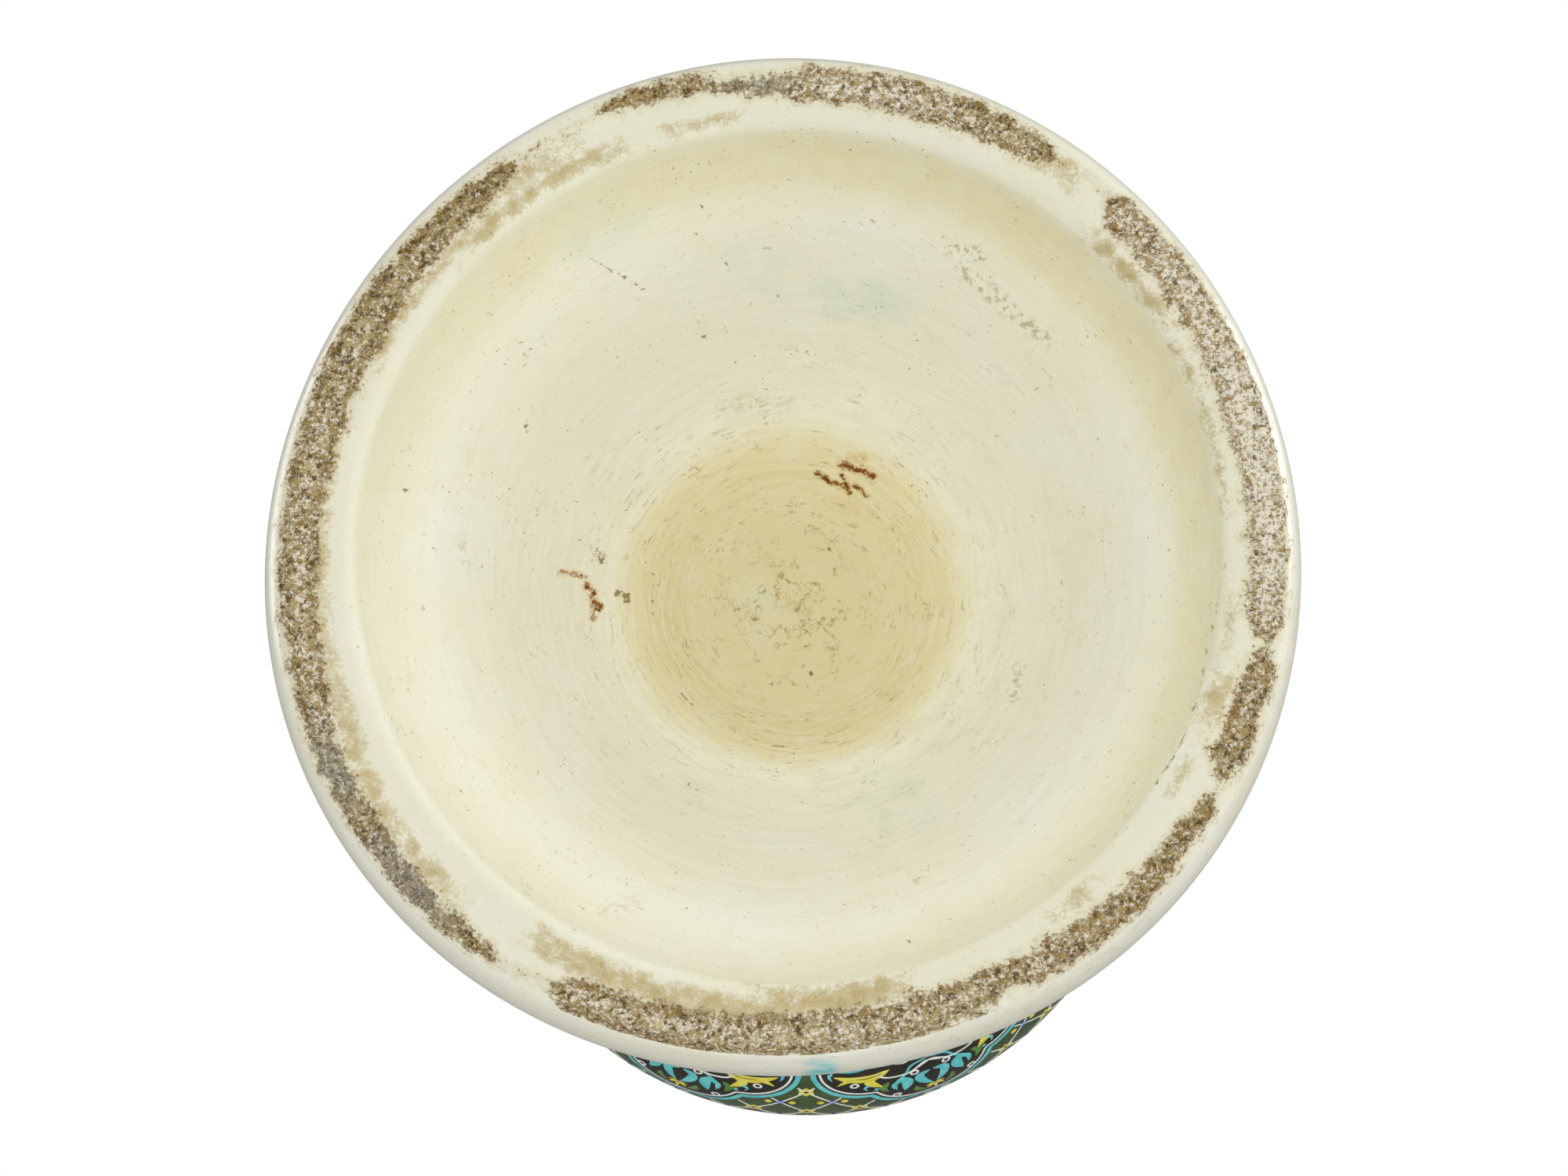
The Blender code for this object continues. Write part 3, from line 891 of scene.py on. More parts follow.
# %% Zones and medallion shapes
APEX_AZIMUTH = math.radians(274.9)
ZONES = {
    "foot": (16, 62.0, 33.5, 0.5),
    "stem": (24, 44.0, 70.0, 0.5),
    "lancets": (16, 47.0, 86.0, 0.5),
    "waist": (24, 51.0, 196.0, 0.5),
    "pendants": (16, 58.0, 264.0, 0.5),
    "medallions": (8, 80.0, 305.0, 0.5),
    "shoulder": (8, 80.0, 360.5, 0.0),
    "collar": (24, 54.0, 412.0, 0.5),
    "neck": (12, 40.0, 438.0, 0.5),
    "lip": (24, 54.0, 527.5, 0.5),
}
LOBES = ((14.0, 0.0, 13.9), (0.0, 8.6, 15.2))
SHOULDER_SIZE = 0.80
EDGE_BAND = 2.4
FIELD_LEVELS = (268.0, 408.0)
FURTHEST_EDGE = 60.0
HALVINGS = 30


def along_at(level_mm):
    """Distance along the outline, in mm, at a height in mm."""
    return np.interp(level_mm * MM, outside[:, 1], outside_along) / MM


def tile_width(zone):
    """Length of one tile round the vase, in mm."""
    copies, reference, *_ = ZONES[zone]
    return math.tau * reference / copies


BAND = "medallions"
BAND_ALONG = along_at(ZONES[BAND][2])
SHOULDER_RISE = along_at(ZONES["shoulder"][2]) - BAND_ALONG
FIELD_LOW, FIELD_HIGH = (along_at(level) - BAND_ALONG for level in FIELD_LEVELS)


def lobed_gap(x, y, size=1.0):
    """Distance outside a medallion of four round lobes, in mm."""
    across, up = np.abs(x) / size, np.abs(y) / size
    return size * np.minimum(*(np.hypot(across - right, up - rise) - radius for right, rise, radius in LOBES))


def field_gap(x, y):
    """How far inside the green field a place of the tile lies."""
    width = tile_width(BAND)
    gap = np.minimum(y - FIELD_LOW, FIELD_HIGH - y)
    for shift in (-width, 0, width):
        gap = np.minimum(gap, lobed_gap(x - shift, y) - EDGE_BAND)
    for shift in (-width / 2, width / 2):
        gap = np.minimum(gap, lobed_gap(x - shift, y - SHOULDER_RISE, SHOULDER_SIZE) - EDGE_BAND)
    return gap


def contour(level, size=1.0, count=240):
    """The closed line at one distance from a medallion's edge, found by halving along rays."""
    angles = np.linspace(0, math.tau, count + 1)
    near, far = np.zeros(count + 1), np.full(count + 1, FURTHEST_EDGE)
    for _ in range(HALVINGS):
        middle = (near + far) / 2
        beyond = lobed_gap(middle * np.cos(angles), middle * np.sin(angles), size) > level
        near, far = np.where(beyond, near, middle), np.where(beyond, middle, far)
    return np.stack((near * np.cos(angles), near * np.sin(angles)), axis=1)


def keep_field(piece):
    """Keeps the distance into the green field on the outside of a piece."""
    points = vertex_points(piece)
    width = tile_width(BAND)
    x = (np.arctan2(points[:, 1], points[:, 0]) - APEX_AZIMUTH) * ZONES[BAND][1]
    x = x % width - width / 2
    keep_values(piece, "field_mm", field_gap(x, along_at(points[:, 2] / MM) - BAND_ALONG))


keep_field(lower_body)
keep_field(upper_body)
print(f"field from {FIELD_LOW:.0f} to {FIELD_HIGH:.0f} mm about the medallions' centre line")

# %% [markdown]
# ## Brush strokes
# Each stroke is a low, closed ridge, as raised enamel is: a centre line, a width that follows the pressure
# of the brush, and a rounded top. A curve with a bevel could give that too, but a small mesh has fewer
# faces and a flat back. It is drawn flat in tile coordinates first. Its underside lies below the glaze, so
# that no gap shows where the body curves away.

# %% A stroke and its mesh
PRESSURE = {
    "even": lambda t: np.ones_like(t),
    "taper": lambda t: np.minimum(1, 0.15 + 7 * np.minimum(t, 1 - t)),
    "leaf": lambda t: 0.05 + np.sin(math.pi * t**0.85) ** 0.85,
    "drop": lambda t: 0.05 + np.sqrt(np.clip(6 * t, 0, 1)) * (1 - t) ** 0.75,
    "round": lambda t: 0.05 + np.sqrt(np.clip(1 - (2 * t - 1) ** 2, 0, 1)),
}
LAYER_HEIGHT = {"green": 0.05, "turquoise": 0.06, "yellow": 0.08, "cobalt": 0.09, "white": 0.10, "dark": 0.12}
SUNK = -0.25
STEPS_PER_KNOT = 12
STROKE_SECTION = (
    (-1.0, SUNK, 0.0),
    (-0.95, 0.0, 0.5),
    (-0.45, 0.0, 1.0),
    (0.45, 0.0, 1.0),
    (0.95, 0.0, 0.5),
    (1.0, SUNK, 0.0),
)
strokes = {}


def smooth_line(knots, spacing):
    """A line through the knots without corners, with even spacing."""
    knots = np.asarray(knots, float)
    if len(knots) > 2:
        padded = np.vstack((2 * knots[0] - knots[1], knots, 2 * knots[-1] - knots[-2]))
        t = np.linspace(0, 1, STEPS_PER_KNOT, endpoint=False)[:, None]
        runs = []
        for a, b, c, d in zip(padded, padded[1:], padded[2:], padded[3:]):
            bend = (2 * a - 5 * b + 4 * c - d) * t**2
            twist = (3 * b - a - 3 * c + d) * t**3
            runs.append(0.5 * (2 * b + (c - a) * t + bend + twist))
        knots = np.vstack(runs + [knots[-1:]])
    return spaced(knots, spacing)


def brush(zone, colour, knots, width, press="taper", spacing=1.1):
    """Adds one stroke, width wide at full pressure, in tile millimetres."""
    line = smooth_line(knots, spacing)
    share = np.linspace(0, 1, len(line))
    strokes.setdefault((zone, colour), []).append((line, width / 2 * PRESSURE[press](share)))


def report_strokes():
    """Prints how many strokes are drawn."""
    print(sum(len(marks) for marks in strokes.values()), "strokes so far")


def stroke_mesh(name, marks, colour):
    """All strokes of one colour as one flat mesh in tile coordinates."""
    points, faces = [], []
    around = len(STROKE_SECTION)
    for line, half_widths in marks:
        run = np.gradient(line, axis=0)
        run /= np.maximum(np.hypot(*run.T), 1e-9)[:, None]
        across = np.stack((-run[:, 1], run[:, 0]), axis=1)
        base = len(points)
        for centre, side, half in zip(line, across, half_widths):
            for offset, sunk, share in STROKE_SECTION:
                height = sunk + share * LAYER_HEIGHT[colour]
                points.append((*(centre + offset * half * side) * MM, height * MM))
        for i in range(len(line) - 1):
            low, high = base + i * around, base + (i + 1) * around
            for k in range(around):
                following = (k + 1) % around
                faces.append((low + k, low + following, high + following, high + k))
        faces.append(tuple(base + k for k in range(around))[::-1])
        faces.append(tuple(base + (len(line) - 1) * around + k for k in range(around)))
    mesh = bpy.data.meshes.new(name)
    mesh.from_pydata(points, [], faces)
    mesh.flip_normals()
    return mesh


# %% [markdown]
# The motifs are the common words of Islamic-style tile painting: leaves, split leaves, palmettes, rosettes,
# small rings and commas. Each is a few strokes about its own root, turned and sized where it is placed.

# %% Motifs
TILE_OVERLAP = 0.15


def placed(knots, x, y, turn=0.0, size=1.0, flip=1):
    """Knots about (0, 0), mirrored, sized, turned anticlockwise by degrees and moved."""
    knots = np.asarray(knots, float) * (flip * size, size)
    cos, sin = math.cos(math.radians(turn)), math.sin(math.radians(turn))
    return knots @ np.array(((cos, sin), (-sin, cos))) + (x, y)


def mirrored(knots, side):
    """Knots as they are on side 1, and mirrored on side -1."""
    return np.array(knots, float) * (side, 1)


def dot(zone, colour, x, y, radius):
    """A round touch of the brush."""
    brush(zone, colour, ((x - radius, y), (x + radius, y)), 2 * radius, "round", radius / 2)


def ring(zone, colour, x, y, radius, width):
    """A small circle."""
    angles = np.linspace(0, math.tau, 13)
    knots = np.stack((x + radius * np.cos(angles), y + radius * np.sin(angles)), axis=1)
    brush(zone, colour, knots, width, "even", radius * 0.6)


def leaf(zone, colour, x, y, turn, length, width, bend=0.0):
    """A leaf on its root, bent to one side."""
    knots = ((0, 0), (-0.35 * bend, 0.5 * length), (bend, length))
    brush(zone, colour, placed(knots, x, y, turn), width, "leaf")


def comma(zone, colour, x, y, turn, size, flip=1):
    """A drop with a curled tail."""
    knots = ((0, 0), (0.9, 1.3), (0.6, 3.0), (-0.7, 4.0))
    brush(zone, colour, placed(knots, x, y, turn, size, flip), 1.5 * size, "drop", 0.7)


def split_leaf(zone, colour, x, y, turn, size, flip=1):
    """A long leaf with a curl and a side leaf at its root."""
    for knots, width, press in (
        (((0, 0), (2.4, 3.0), (3.2, 7.0), (1.0, 11.0)), 2.6, "leaf"),
        (((0, 0), (-2.2, 2.4), (-4.2, 1.8), (-4.2, -0.4)), 1.7, "leaf"),
        (((1.4, 2.0), (4.6, 2.6), (6.2, 5.2)), 1.7, "leaf"),
    ):
        brush(zone, colour, placed(knots, x, y, turn, size, flip), width * size, press)


def palmette(zone, colour, heart, x, y, turn, size):
    """A fan of five leaves about a heart."""
    for angle, length in ((-82, 5.6), (-44, 7.6), (0, 9.6), (44, 7.6), (82, 5.6)):
        leaf(zone, colour, x, y, turn + angle, length * size, 2.5 * size)
    dot(zone, heart, *placed(((0, 1.0 * size),), x, y, turn)[0], 1.1 * size)


def rosette(zone, colour, heart, x, y, radius, petals=6):
    """Petals all round a heart."""
    for petal in range(petals):
        leaf(zone, colour, x, y, petal * 360 / petals, radius, 0.85 * radius)
    dot(zone, heart, x, y, 0.3 * radius)


def band_lines(zone, *lines):
    """Lines right round the vase, in tile lengths that overlap a little."""
    half = tile_width(zone) / 2 + TILE_OVERLAP
    for colour, y, width in lines:
        brush(zone, colour, ((-half, y), (half, y)), width, "even", 2.0)


# %% [markdown]
# A great medallion is the same in its four quarters. A yellow split leaf fills each side lobe, turquoise
# leaves stand about the upright axis on thin stems, and white rings and commas take what ground is left. A
# shoulder medallion has a smaller bouquet.

# %% Great medallions
QUARTERS = ((1, 1), (1, -1), (-1, 1), (-1, -1))
EDGE_LINES = (("white", 0.0, 0.65), ("dark", 0.75, 0.5), ("turquoise", 1.7, 1.5))
for colour, level, width in EDGE_LINES:
    brush(BAND, colour, contour(level), width, "even", 1.2)
    brush("shoulder", colour, contour(level, SHOULDER_SIZE), width, "even", 1.2)


def quarter(zone, colour, knots, width, press="leaf"):
    """The same stroke in all four quarters of a medallion."""
    for signs in QUARTERS:
        brush(zone, colour, np.array(knots, float) * signs, width, press, 0.9)


def quarter_rings(zone, places, radius=0.95, width=0.6):
    """White rings in all four quarters."""
    for x, y in places:
        for right, up in QUARTERS:
            ring(zone, "white", right * x, up * y, radius, width)


quarter(BAND, "white", ((-3.0, 7.0), (0.7, 5.0), (5.4, 8.0), (11.2, 7.4), (14.0, 4.0)), 0.7, "taper")
quarter(BAND, "turquoise", ((0.0, 3.4), (4.5, 4.8), (6.6, 8.6), (9.2, 11.4), (9.4, 15.8)), 0.8, "taper")
quarter(BAND, "yellow", ((10.2, 3.4), (14.5, 5.6), (19.5, 5.2), (24.4, 2.6)), 3.3)
quarter(BAND, "yellow", ((13.6, 5.0), (15.6, 8.0), (12.7, 11.6)), 2.7)
quarter(BAND, "yellow", ((17.0, 4.6), (21.0, 5.6), (23.6, 7.4)), 1.7)
quarter(BAND, "dark", ((12.0, 4.3), (15.5, 5.4), (19.0, 5.0)), 0.5, "taper")
quarter(BAND, "turquoise", ((7.7, 9.6), (6.4, 13.0), (7.5, 17.4)), 3.0)
quarter(BAND, "turquoise", ((7.4, 10.8), (9.6, 12.2), (9.9, 15.0)), 1.6)
quarter(BAND, "turquoise", ((0.4, 10.4), (3.2, 11.6), (2.6, 15.2), (0.5, 18.4)), 2.5)
quarter(BAND, "turquoise", ((15.0, 9.4), (17.0, 10.5), (16.3, 12.4)), 1.4, "drop")
quarter(BAND, "turquoise", ((13.5, 12.2), (14.8, 12.7)), 1.5, "round")
quarter(BAND, "green", ((10.8, 10.0), (12.6, 12.6), (11.4, 15.4)), 2.0)
quarter(BAND, "green", ((4.6, 17.2), (4.4, 19.6), (2.4, 21.6)), 1.7)
quarter(BAND, "turquoise", ((24.6, 0.4), (25.6, 2.2), (24.8, 4.6)), 1.4, "drop")
quarter(BAND, "white", ((4.4, 1.0), (6.2, 2.2), (8.6, 1.4)), 0.9, "drop")
quarter_rings(BAND, ((19.4, 8.4), (9.6, 19.0), (4.2, 8.9)))
for side in (1, -1):
    palmette(BAND, "yellow", "cobalt", 0, side * 19.0, 0 if side > 0 else 180, 0.42)
    leaf(BAND, "turquoise", side * 15.4, 0, side * -90, 8.4, 2.6)
    dot(BAND, "cobalt", side * 11.2, 0, 1.2)
rosette(BAND, "white", "cobalt", 0, 0, 3.2)
report_strokes()

# %% Shoulder medallions
quarter("shoulder", "turquoise", ((0.0, 4.0), (4.0, 4.2), (8.5, 7.0), (13.5, 6.4), (17.5, 2.6)), 0.8, "taper")
quarter("shoulder", "yellow", ((8.2, 6.8), (12.0, 4.2), (17.2, 1.2)), 2.6)
quarter("shoulder", "turquoise", ((6.0, 6.0), (5.4, 9.4), (7.8, 12.6)), 2.4)
quarter("shoulder", "green", ((12.8, 6.6), (12.4, 8.6), (9.8, 9.8)), 1.7)
quarter("shoulder", "yellow", ((0.3, 6.2), (2.4, 9.2), (0.4, 13.4)), 1.9)
quarter_rings("shoulder", ((3.8, 13.6), (16.4, 6.0)), 0.85, 0.5)
rosette("shoulder", "white", "cobalt", 0, 0, 2.7)
report_strokes()

# %% [markdown]
# The trellis is drawn over the green field alone: each diagonal is cut wherever the field ends. Yellow
# rosettes sit on the crossings of one row, and blue dots, each between two yellow ones, on the crossings of
# the next. There are hundreds, so each is drawn once and scattered by Geometry Nodes.

# %% Trellis
TRELLIS_COLUMNS = 5
TRELLIS_PITCH = (tile_width(BAND) / TRELLIS_COLUMNS, 13.2)
ROSETTE_LEVEL = 9.8
TRELLIS_CLEAR = 0.4
TRELLIS_SAMPLES = 120
half_tile = tile_width(BAND) / 2


def trellis_runs():
    """The parts of the diagonals that lie in the field."""
    slope = TRELLIS_PITCH[1] / TRELLIS_PITCH[0]
    x = np.linspace(-half_tile, half_tile, TRELLIS_SAMPLES)
    rise = 2 * half_tile * slope
    for direction in (1, -1):
        start = math.floor((FIELD_LOW - ROSETTE_LEVEL - rise) / TRELLIS_PITCH[1])
        stop = math.ceil((FIELD_HIGH - ROSETTE_LEVEL + rise) / TRELLIS_PITCH[1])
        for k in range(start, stop + 1):
            y = ROSETTE_LEVEL + k * TRELLIS_PITCH[1] + direction * slope * (x + half_tile)
            clear = field_gap(x, y) > TRELLIS_CLEAR
            edges = np.flatnonzero(np.diff(np.concatenate(([0], clear.astype(int), [0]))))
            for first, last in zip(edges[::2], edges[1::2]):
                if last - first > 2:
                    yield np.stack((x[first:last], y[first:last]), axis=1)


def trellis_crossings(shift, clear):
    """Crossings of the main rows, or of the rows between if shifted by half a pitch, in one tile."""
    low = math.floor((FIELD_LOW - ROSETTE_LEVEL) / TRELLIS_PITCH[1])
    high = math.ceil((FIELD_HIGH - ROSETTE_LEVEL) / TRELLIS_PITCH[1])
    for column in range(TRELLIS_COLUMNS):
        x = (column + shift) * TRELLIS_PITCH[0] - half_tile
        for k in range(low, high + 1):
            y = ROSETTE_LEVEL + (k + shift) * TRELLIS_PITCH[1]
            if field_gap(np.array(x), np.array(y)) > clear:
                yield x, y


for line in trellis_runs():
    brush(BAND, "white", line[[0, -1]], 0.5, "even", 2.0)
rosette_spots = list(trellis_crossings(0.0, 1.6))
floret_spots = list(trellis_crossings(0.5, 0.8))
print(len(rosette_spots), "rosettes and", len(floret_spots), "blue florets in one tile")

# %% [markdown]
# Smaller patterns finish the other zones: petals on the foot, rings round the stem, tall lancets and
# hanging pendants below the medallions, running vines round the waist and the collar, and pointed leaves on
# the neck.

# %% Foot and stem
half = tile_width("foot") / 2
band_lines("foot", ("turquoise", 0.3, 2.0), ("white", 2.2, 0.7))
for side in (1, -1):
    petal = ((0, 7), (7.5, 15), (10.2, 28), (8.6, 44), (7.8, 56))
    brush("foot", "turquoise", mirrored(petal, side), 1.7, "even")
    inner = ((0, 9.5), (6.2, 16.5), (8.4, 28), (7.2, 43))
    brush("foot", "white", mirrored(inner, side), 0.6)
    leaf("foot", "green", side * 1.2, 22, side * -36, 9, 2.8, side * 1.4)
    split_leaf("foot", "turquoise", side * 1.5, 30, side * -14, 0.7, side)
    comma("foot", "white", side * (half - 2.4), 11, side * 30, 1.0, side)
palmette("foot", "yellow", "cobalt", 0, 15, 0, 0.85)
palmette("foot", "yellow", "dark", half, 6.5, 0, 0.7)
dot("foot", "white", 0, 46, 1.1)

band_lines("stem", ("turquoise", -3, 1.2), ("white", 0.5, 0.6), ("white", 9, 0.6), ("turquoise", 12.5, 1.2))
rosette("stem", "yellow", "dark", 0, 4.8, 2.6)
dot("stem", "turquoise", tile_width("stem") / 2, 4.8, 0.9)
report_strokes()

# %% Lancets and pendants
half = tile_width("lancets") / 2
for side in (1, -1):
    tip = ((half - 0.6, 0), (half - 1.0, 30), (7.4, 66), (4.0, 90), (0, 104))
    brush("lancets", "turquoise", mirrored(tip, side), 1.5)
    inner = ((half - 2.4, 0), (half - 2.8, 30), (5.6, 64), (2.6, 86), (0, 98))
    brush("lancets", "white", mirrored(inner, side), 0.55)
    for y, turn, length in ((10, -34, 11), (27, -32, 12), (45, -30, 11), (62, -26, 9)):
        leaf("lancets", "green", side * 0.4, y, side * turn, length, 2.9, side * 1.8)
    for y in (19, 37, 54):
        comma("lancets", "white", side * 4.0, y, side * 10, 0.8, side)
    split_leaf("lancets", "turquoise", side * 0.6, 72, side * -8, 0.5, side)
brush("lancets", "turquoise", ((0, 2), (0, 78)), 0.9)
for y in (22, 40, 57):
    palmette("lancets", "yellow", "dark", 0, y - 4, 0, 0.5)
palmette("lancets", "yellow", "cobalt", 0, 80, 0, 0.55)
palmette("lancets", "turquoise", "yellow", half, 84, 0, 0.75)
ring("lancets", "white", half, 76, 1.2, 0.6)

half = tile_width("pendants") / 2
for side in (1, -1):
    rim = ((half - 0.6, 0), (half - 1.4, -14), (6.4, -26), (0, -45))
    brush("pendants", "turquoise", mirrored(rim, side), 1.5)
    inner = ((half - 2.6, 0), (half - 3.4, -13), (4.8, -24), (0, -39))
    brush("pendants", "white", mirrored(inner, side), 0.55)
    leaf("pendants", "green", side * 0.6, -3, side * -140, 10, 2.8, side * 1.4)
    split_leaf("pendants", "turquoise", side * 0.8, -14, side * -160, 0.7, -side)
    comma("pendants", "white", side * (half - 1.6), -24, side * -165, 0.9, side)
palmette("pendants", "yellow", "cobalt", 0, -5, 180, 0.8)
palmette("pendants", "yellow", "dark", 0, -23, 180, 0.55)
palmette("pendants", "yellow", "dark", half, -32, 0, 0.7)
report_strokes()

# %% Borders and vines
VINE_BORDERS = (
    ("turquoise", -1.6, 1.2),
    ("white", 0.6, 0.6),
    ("white", 17.0, 0.6),
    ("turquoise", 19.2, 1.2),
)
for y, turn in ((FIELD_LOW, 1), (FIELD_HIGH, -1)):
    for colour, offset, width in (("white", 0.6, 0.8), ("turquoise", -1.2, 1.8), ("white", -3.0, 0.7)):
        band_lines(BAND, (colour, y + turn * offset, width))

for zone in ("waist", "collar"):
    half = tile_width(zone) / 2
    band_lines(zone, *VINE_BORDERS)
    wave = ((-half, 8.8), (-half / 2, 12.0), (0, 8.8), (half / 2, 5.6), (half, 8.8))
    brush(zone, "turquoise", wave, 0.9, "even")
    leaf(zone, "yellow", -half / 2, 11.6, 180, 6.0, 2.4)
    leaf(zone, "green", half / 2, 6.0, 0, 6.0, 2.4)
    dot(zone, "white", -half / 2, 14.4, 0.8)
    dot(zone, "white", half / 2, 3.2, 0.8)
report_strokes()

# %% Neck and lip
half = tile_width("neck") / 2
for side in (1, -1):
    brush("neck", "turquoise", mirrored(((half - 0.8, 0), (8.4, 18), (6.0, 36), (0, 54)), side), 1.5)
    brush("neck", "white", mirrored(((half - 2.6, 0), (6.6, 18), (4.2, 34), (0, 48)), side), 0.55)
    leaf("neck", "green", side * 0.4, 6, side * -36, 10, 2.8, side * 1.6)
    leaf("neck", "green", side * 0.4, 18, side * -30, 9, 2.4, side * 1.4)
    leaf("neck", "turquoise", side * 0.6, 30, side * -22, 8, 2.0, side * 1.0)
    split_leaf("neck", "turquoise", half, 52, side * 28, 0.62, side)
palmette("neck", "yellow", "cobalt", 0, 12, 0, 0.72)
palmette("neck", "yellow", "dark", 0, 30, 0, 0.55)
brush("neck", "turquoise", ((0, 1), (0, 34)), 0.8)
palmette("neck", "yellow", "dark", half, 58, 0, 0.60)
ring("neck", "white", half, 46, 1.2, 0.6)
band_lines("lip", ("turquoise", 0.0, 3.0), ("white", -3.6, 0.7))
report_strokes()

# %% [markdown]
# ## Wrapping the tiles round the vase
# One Geometry Nodes tree makes the copies of a flat tile and lays them on the outline: x becomes an angle,
# y a place on the outline curve, and z a height along its normal. Array and Curve modifiers could bend a
# tile round a plain cylinder, but this body swells. Florets are first scattered by a second tree. Both
# trees give real geometry with its material set, and the result is kept as a plain mesh.

# %% Outline curve
profile_data = bpy.data.curves.new("outline_curve", "CURVE")
profile_data.dimensions = "3D"
spline = profile_data.splines.new("POLY")
spline.points.add(len(outside) - 1)
for point, (radius, level) in zip(spline.points, outside):
    point.co = (radius, 0, level, 1)
profile = bpy.data.objects.new("outline_curve", profile_data)
bpy.context.scene.collection.objects.link(profile)
print("the outline curve has", len(spline.points), "points")

# %% Trees that wrap and scatter
WRAP_INPUTS = (
    ("Outline", "NodeSocketObject"),
    ("Copies", "NodeSocketInt"),
    ("Reference Radius", "NodeSocketFloat"),
    ("Start Angle", "NodeSocketFloat"),
    ("Start Along", "NodeSocketFloat"),
    ("Material", "NodeSocketMaterial"),
)
SCATTER_INPUTS = (("Motif", "NodeSocketObject"), ("Material", "NodeSocketMaterial"))


def geometry_tree(name, inputs):
    """An empty tree with a geometry input and output and some named inputs."""
    tree = bpy.data.node_groups.new(name, "GeometryNodeTree")
    tree.interface.new_socket("Geometry", in_out="INPUT", socket_type="NodeSocketGeometry")
    tree.interface.new_socket("Geometry", in_out="OUTPUT", socket_type="NodeSocketGeometry")
    for label, kind in inputs:
        tree.interface.new_socket(label, in_out="INPUT", socket_type=kind)
    return tree, add_node(tree, "NodeGroupInput")


def numbered_copies(tree, given):
    """The tile's copies as flat, real geometry, and the number of the copy that each point is in."""
    seats = add_node(tree, "GeometryNodeMeshLine", {"Count": given["Copies"], "Offset": (0, 0, 0)})[0]
    spots = {"Points": seats, "Instance": given["Geometry"]}
    copies = add_node(tree, "GeometryNodeInstanceOnPoints", spots)[0]
    label = {"Geometry": copies, "Name": "copy", "Value": add_node(tree, "GeometryNodeInputIndex")[0]}
    labelled = add_node(tree, "GeometryNodeStoreNamedAttribute", label, data_type="INT", domain="INSTANCE")[0]
    flat = add_node(tree, "GeometryNodeRealizeInstances", {"Geometry": labelled})[0]
    return flat, add_node(tree, "GeometryNodeInputNamedAttribute", {"Name": "copy"}, data_type="INT")[0]


def wrap_tree():
    """Copies the tile round the axis and bends it onto the outline."""
    tree, given = geometry_tree("wrap_tile_round_vase", WRAP_INPUTS)
    flat, number = numbered_copies(tree, given)
    place = add_node(tree, "ShaderNodeSeparateXYZ", (add_node(tree, "GeometryNodeInputPosition")[0],))
    step = add_node(tree, "ShaderNodeMath", (math.tau, given["Copies"]), operation="DIVIDE")[0]
    turn = add_node(tree, "ShaderNodeMath", (place["X"], given["Reference Radius"]), operation="DIVIDE")[0]
    turn = add_node(tree, "ShaderNodeMath", (number, step, turn), operation="MULTIPLY_ADD")[0]
    angle = add_node(tree, "ShaderNodeMath", (turn, given["Start Angle"]), operation="ADD")[0]
    along = add_node(tree, "ShaderNodeMath", (place["Y"], given["Start Along"]), operation="ADD")[0]
    outline = add_node(tree, "GeometryNodeObjectInfo", {"Object": given["Outline"]})["Geometry"]
    reading = {"Curves": outline, "Length": along}
    sample = add_node(tree, "GeometryNodeSampleCurve", reading, mode="LENGTH", use_all_curves=True)
    on_line = add_node(tree, "ShaderNodeSeparateXYZ", (sample["Position"],))
    run = add_node(tree, "ShaderNodeSeparateXYZ", (sample["Tangent"],))
    lift = (run["Z"], place["Z"], on_line["X"])
    radius = add_node(tree, "ShaderNodeMath", lift, operation="MULTIPLY_ADD")[0]
    sink = add_node(tree, "ShaderNodeMath", (run["X"], place["Z"]), operation="MULTIPLY")[0]
    level = add_node(tree, "ShaderNodeMath", (on_line["Z"], sink), operation="SUBTRACT")[0]
    wrapped = {"Z": level}
    for axis, operation in (("X", "COSINE"), ("Y", "SINE")):
        share = add_node(tree, "ShaderNodeMath", (angle,), operation=operation)[0]
        wrapped[axis] = add_node(tree, "ShaderNodeMath", (radius, share), operation="MULTIPLY")[0]
    position = add_node(tree, "ShaderNodeCombineXYZ", wrapped)[0]
    bent = add_node(tree, "GeometryNodeSetPosition", {"Geometry": flat, "Position": position})[0]
    done = add_node(tree, "GeometryNodeSetMaterial", {"Geometry": bent, "Material": given["Material"]})[0]
    add_node(tree, "NodeGroupOutput", {"Geometry": done})
    return tree


def scatter_tree():
    """Sets one motif on every vertex of the tile."""
    tree, given = geometry_tree("scatter_motif", SCATTER_INPUTS)
    motif = add_node(tree, "GeometryNodeObjectInfo", {"Object": given["Motif"]})["Geometry"]
    spots = {"Points": given["Geometry"], "Instance": motif}
    set_out = add_node(tree, "GeometryNodeInstanceOnPoints", spots)[0]
    real = add_node(tree, "GeometryNodeRealizeInstances", {"Geometry": set_out})[0]
    done = add_node(tree, "GeometryNodeSetMaterial", {"Geometry": real, "Material": given["Material"]})[0]
    add_node(tree, "NodeGroupOutput", {"Geometry": done})
    return tree


WRAP, SCATTER = wrap_tree(), scatter_tree()
print(len(WRAP.nodes), "nodes wrap a tile and", len(SCATTER.nodes), "scatter a motif")


# %% Using the trees
def set_inputs(modifier, values):
    """Sets the named inputs of a tree by their identifiers."""
    for item in modifier.node_group.interface.items_tree:
        if item.in_out == "INPUT" and item.name in values:
            modifier[item.identifier] = values[item.name]


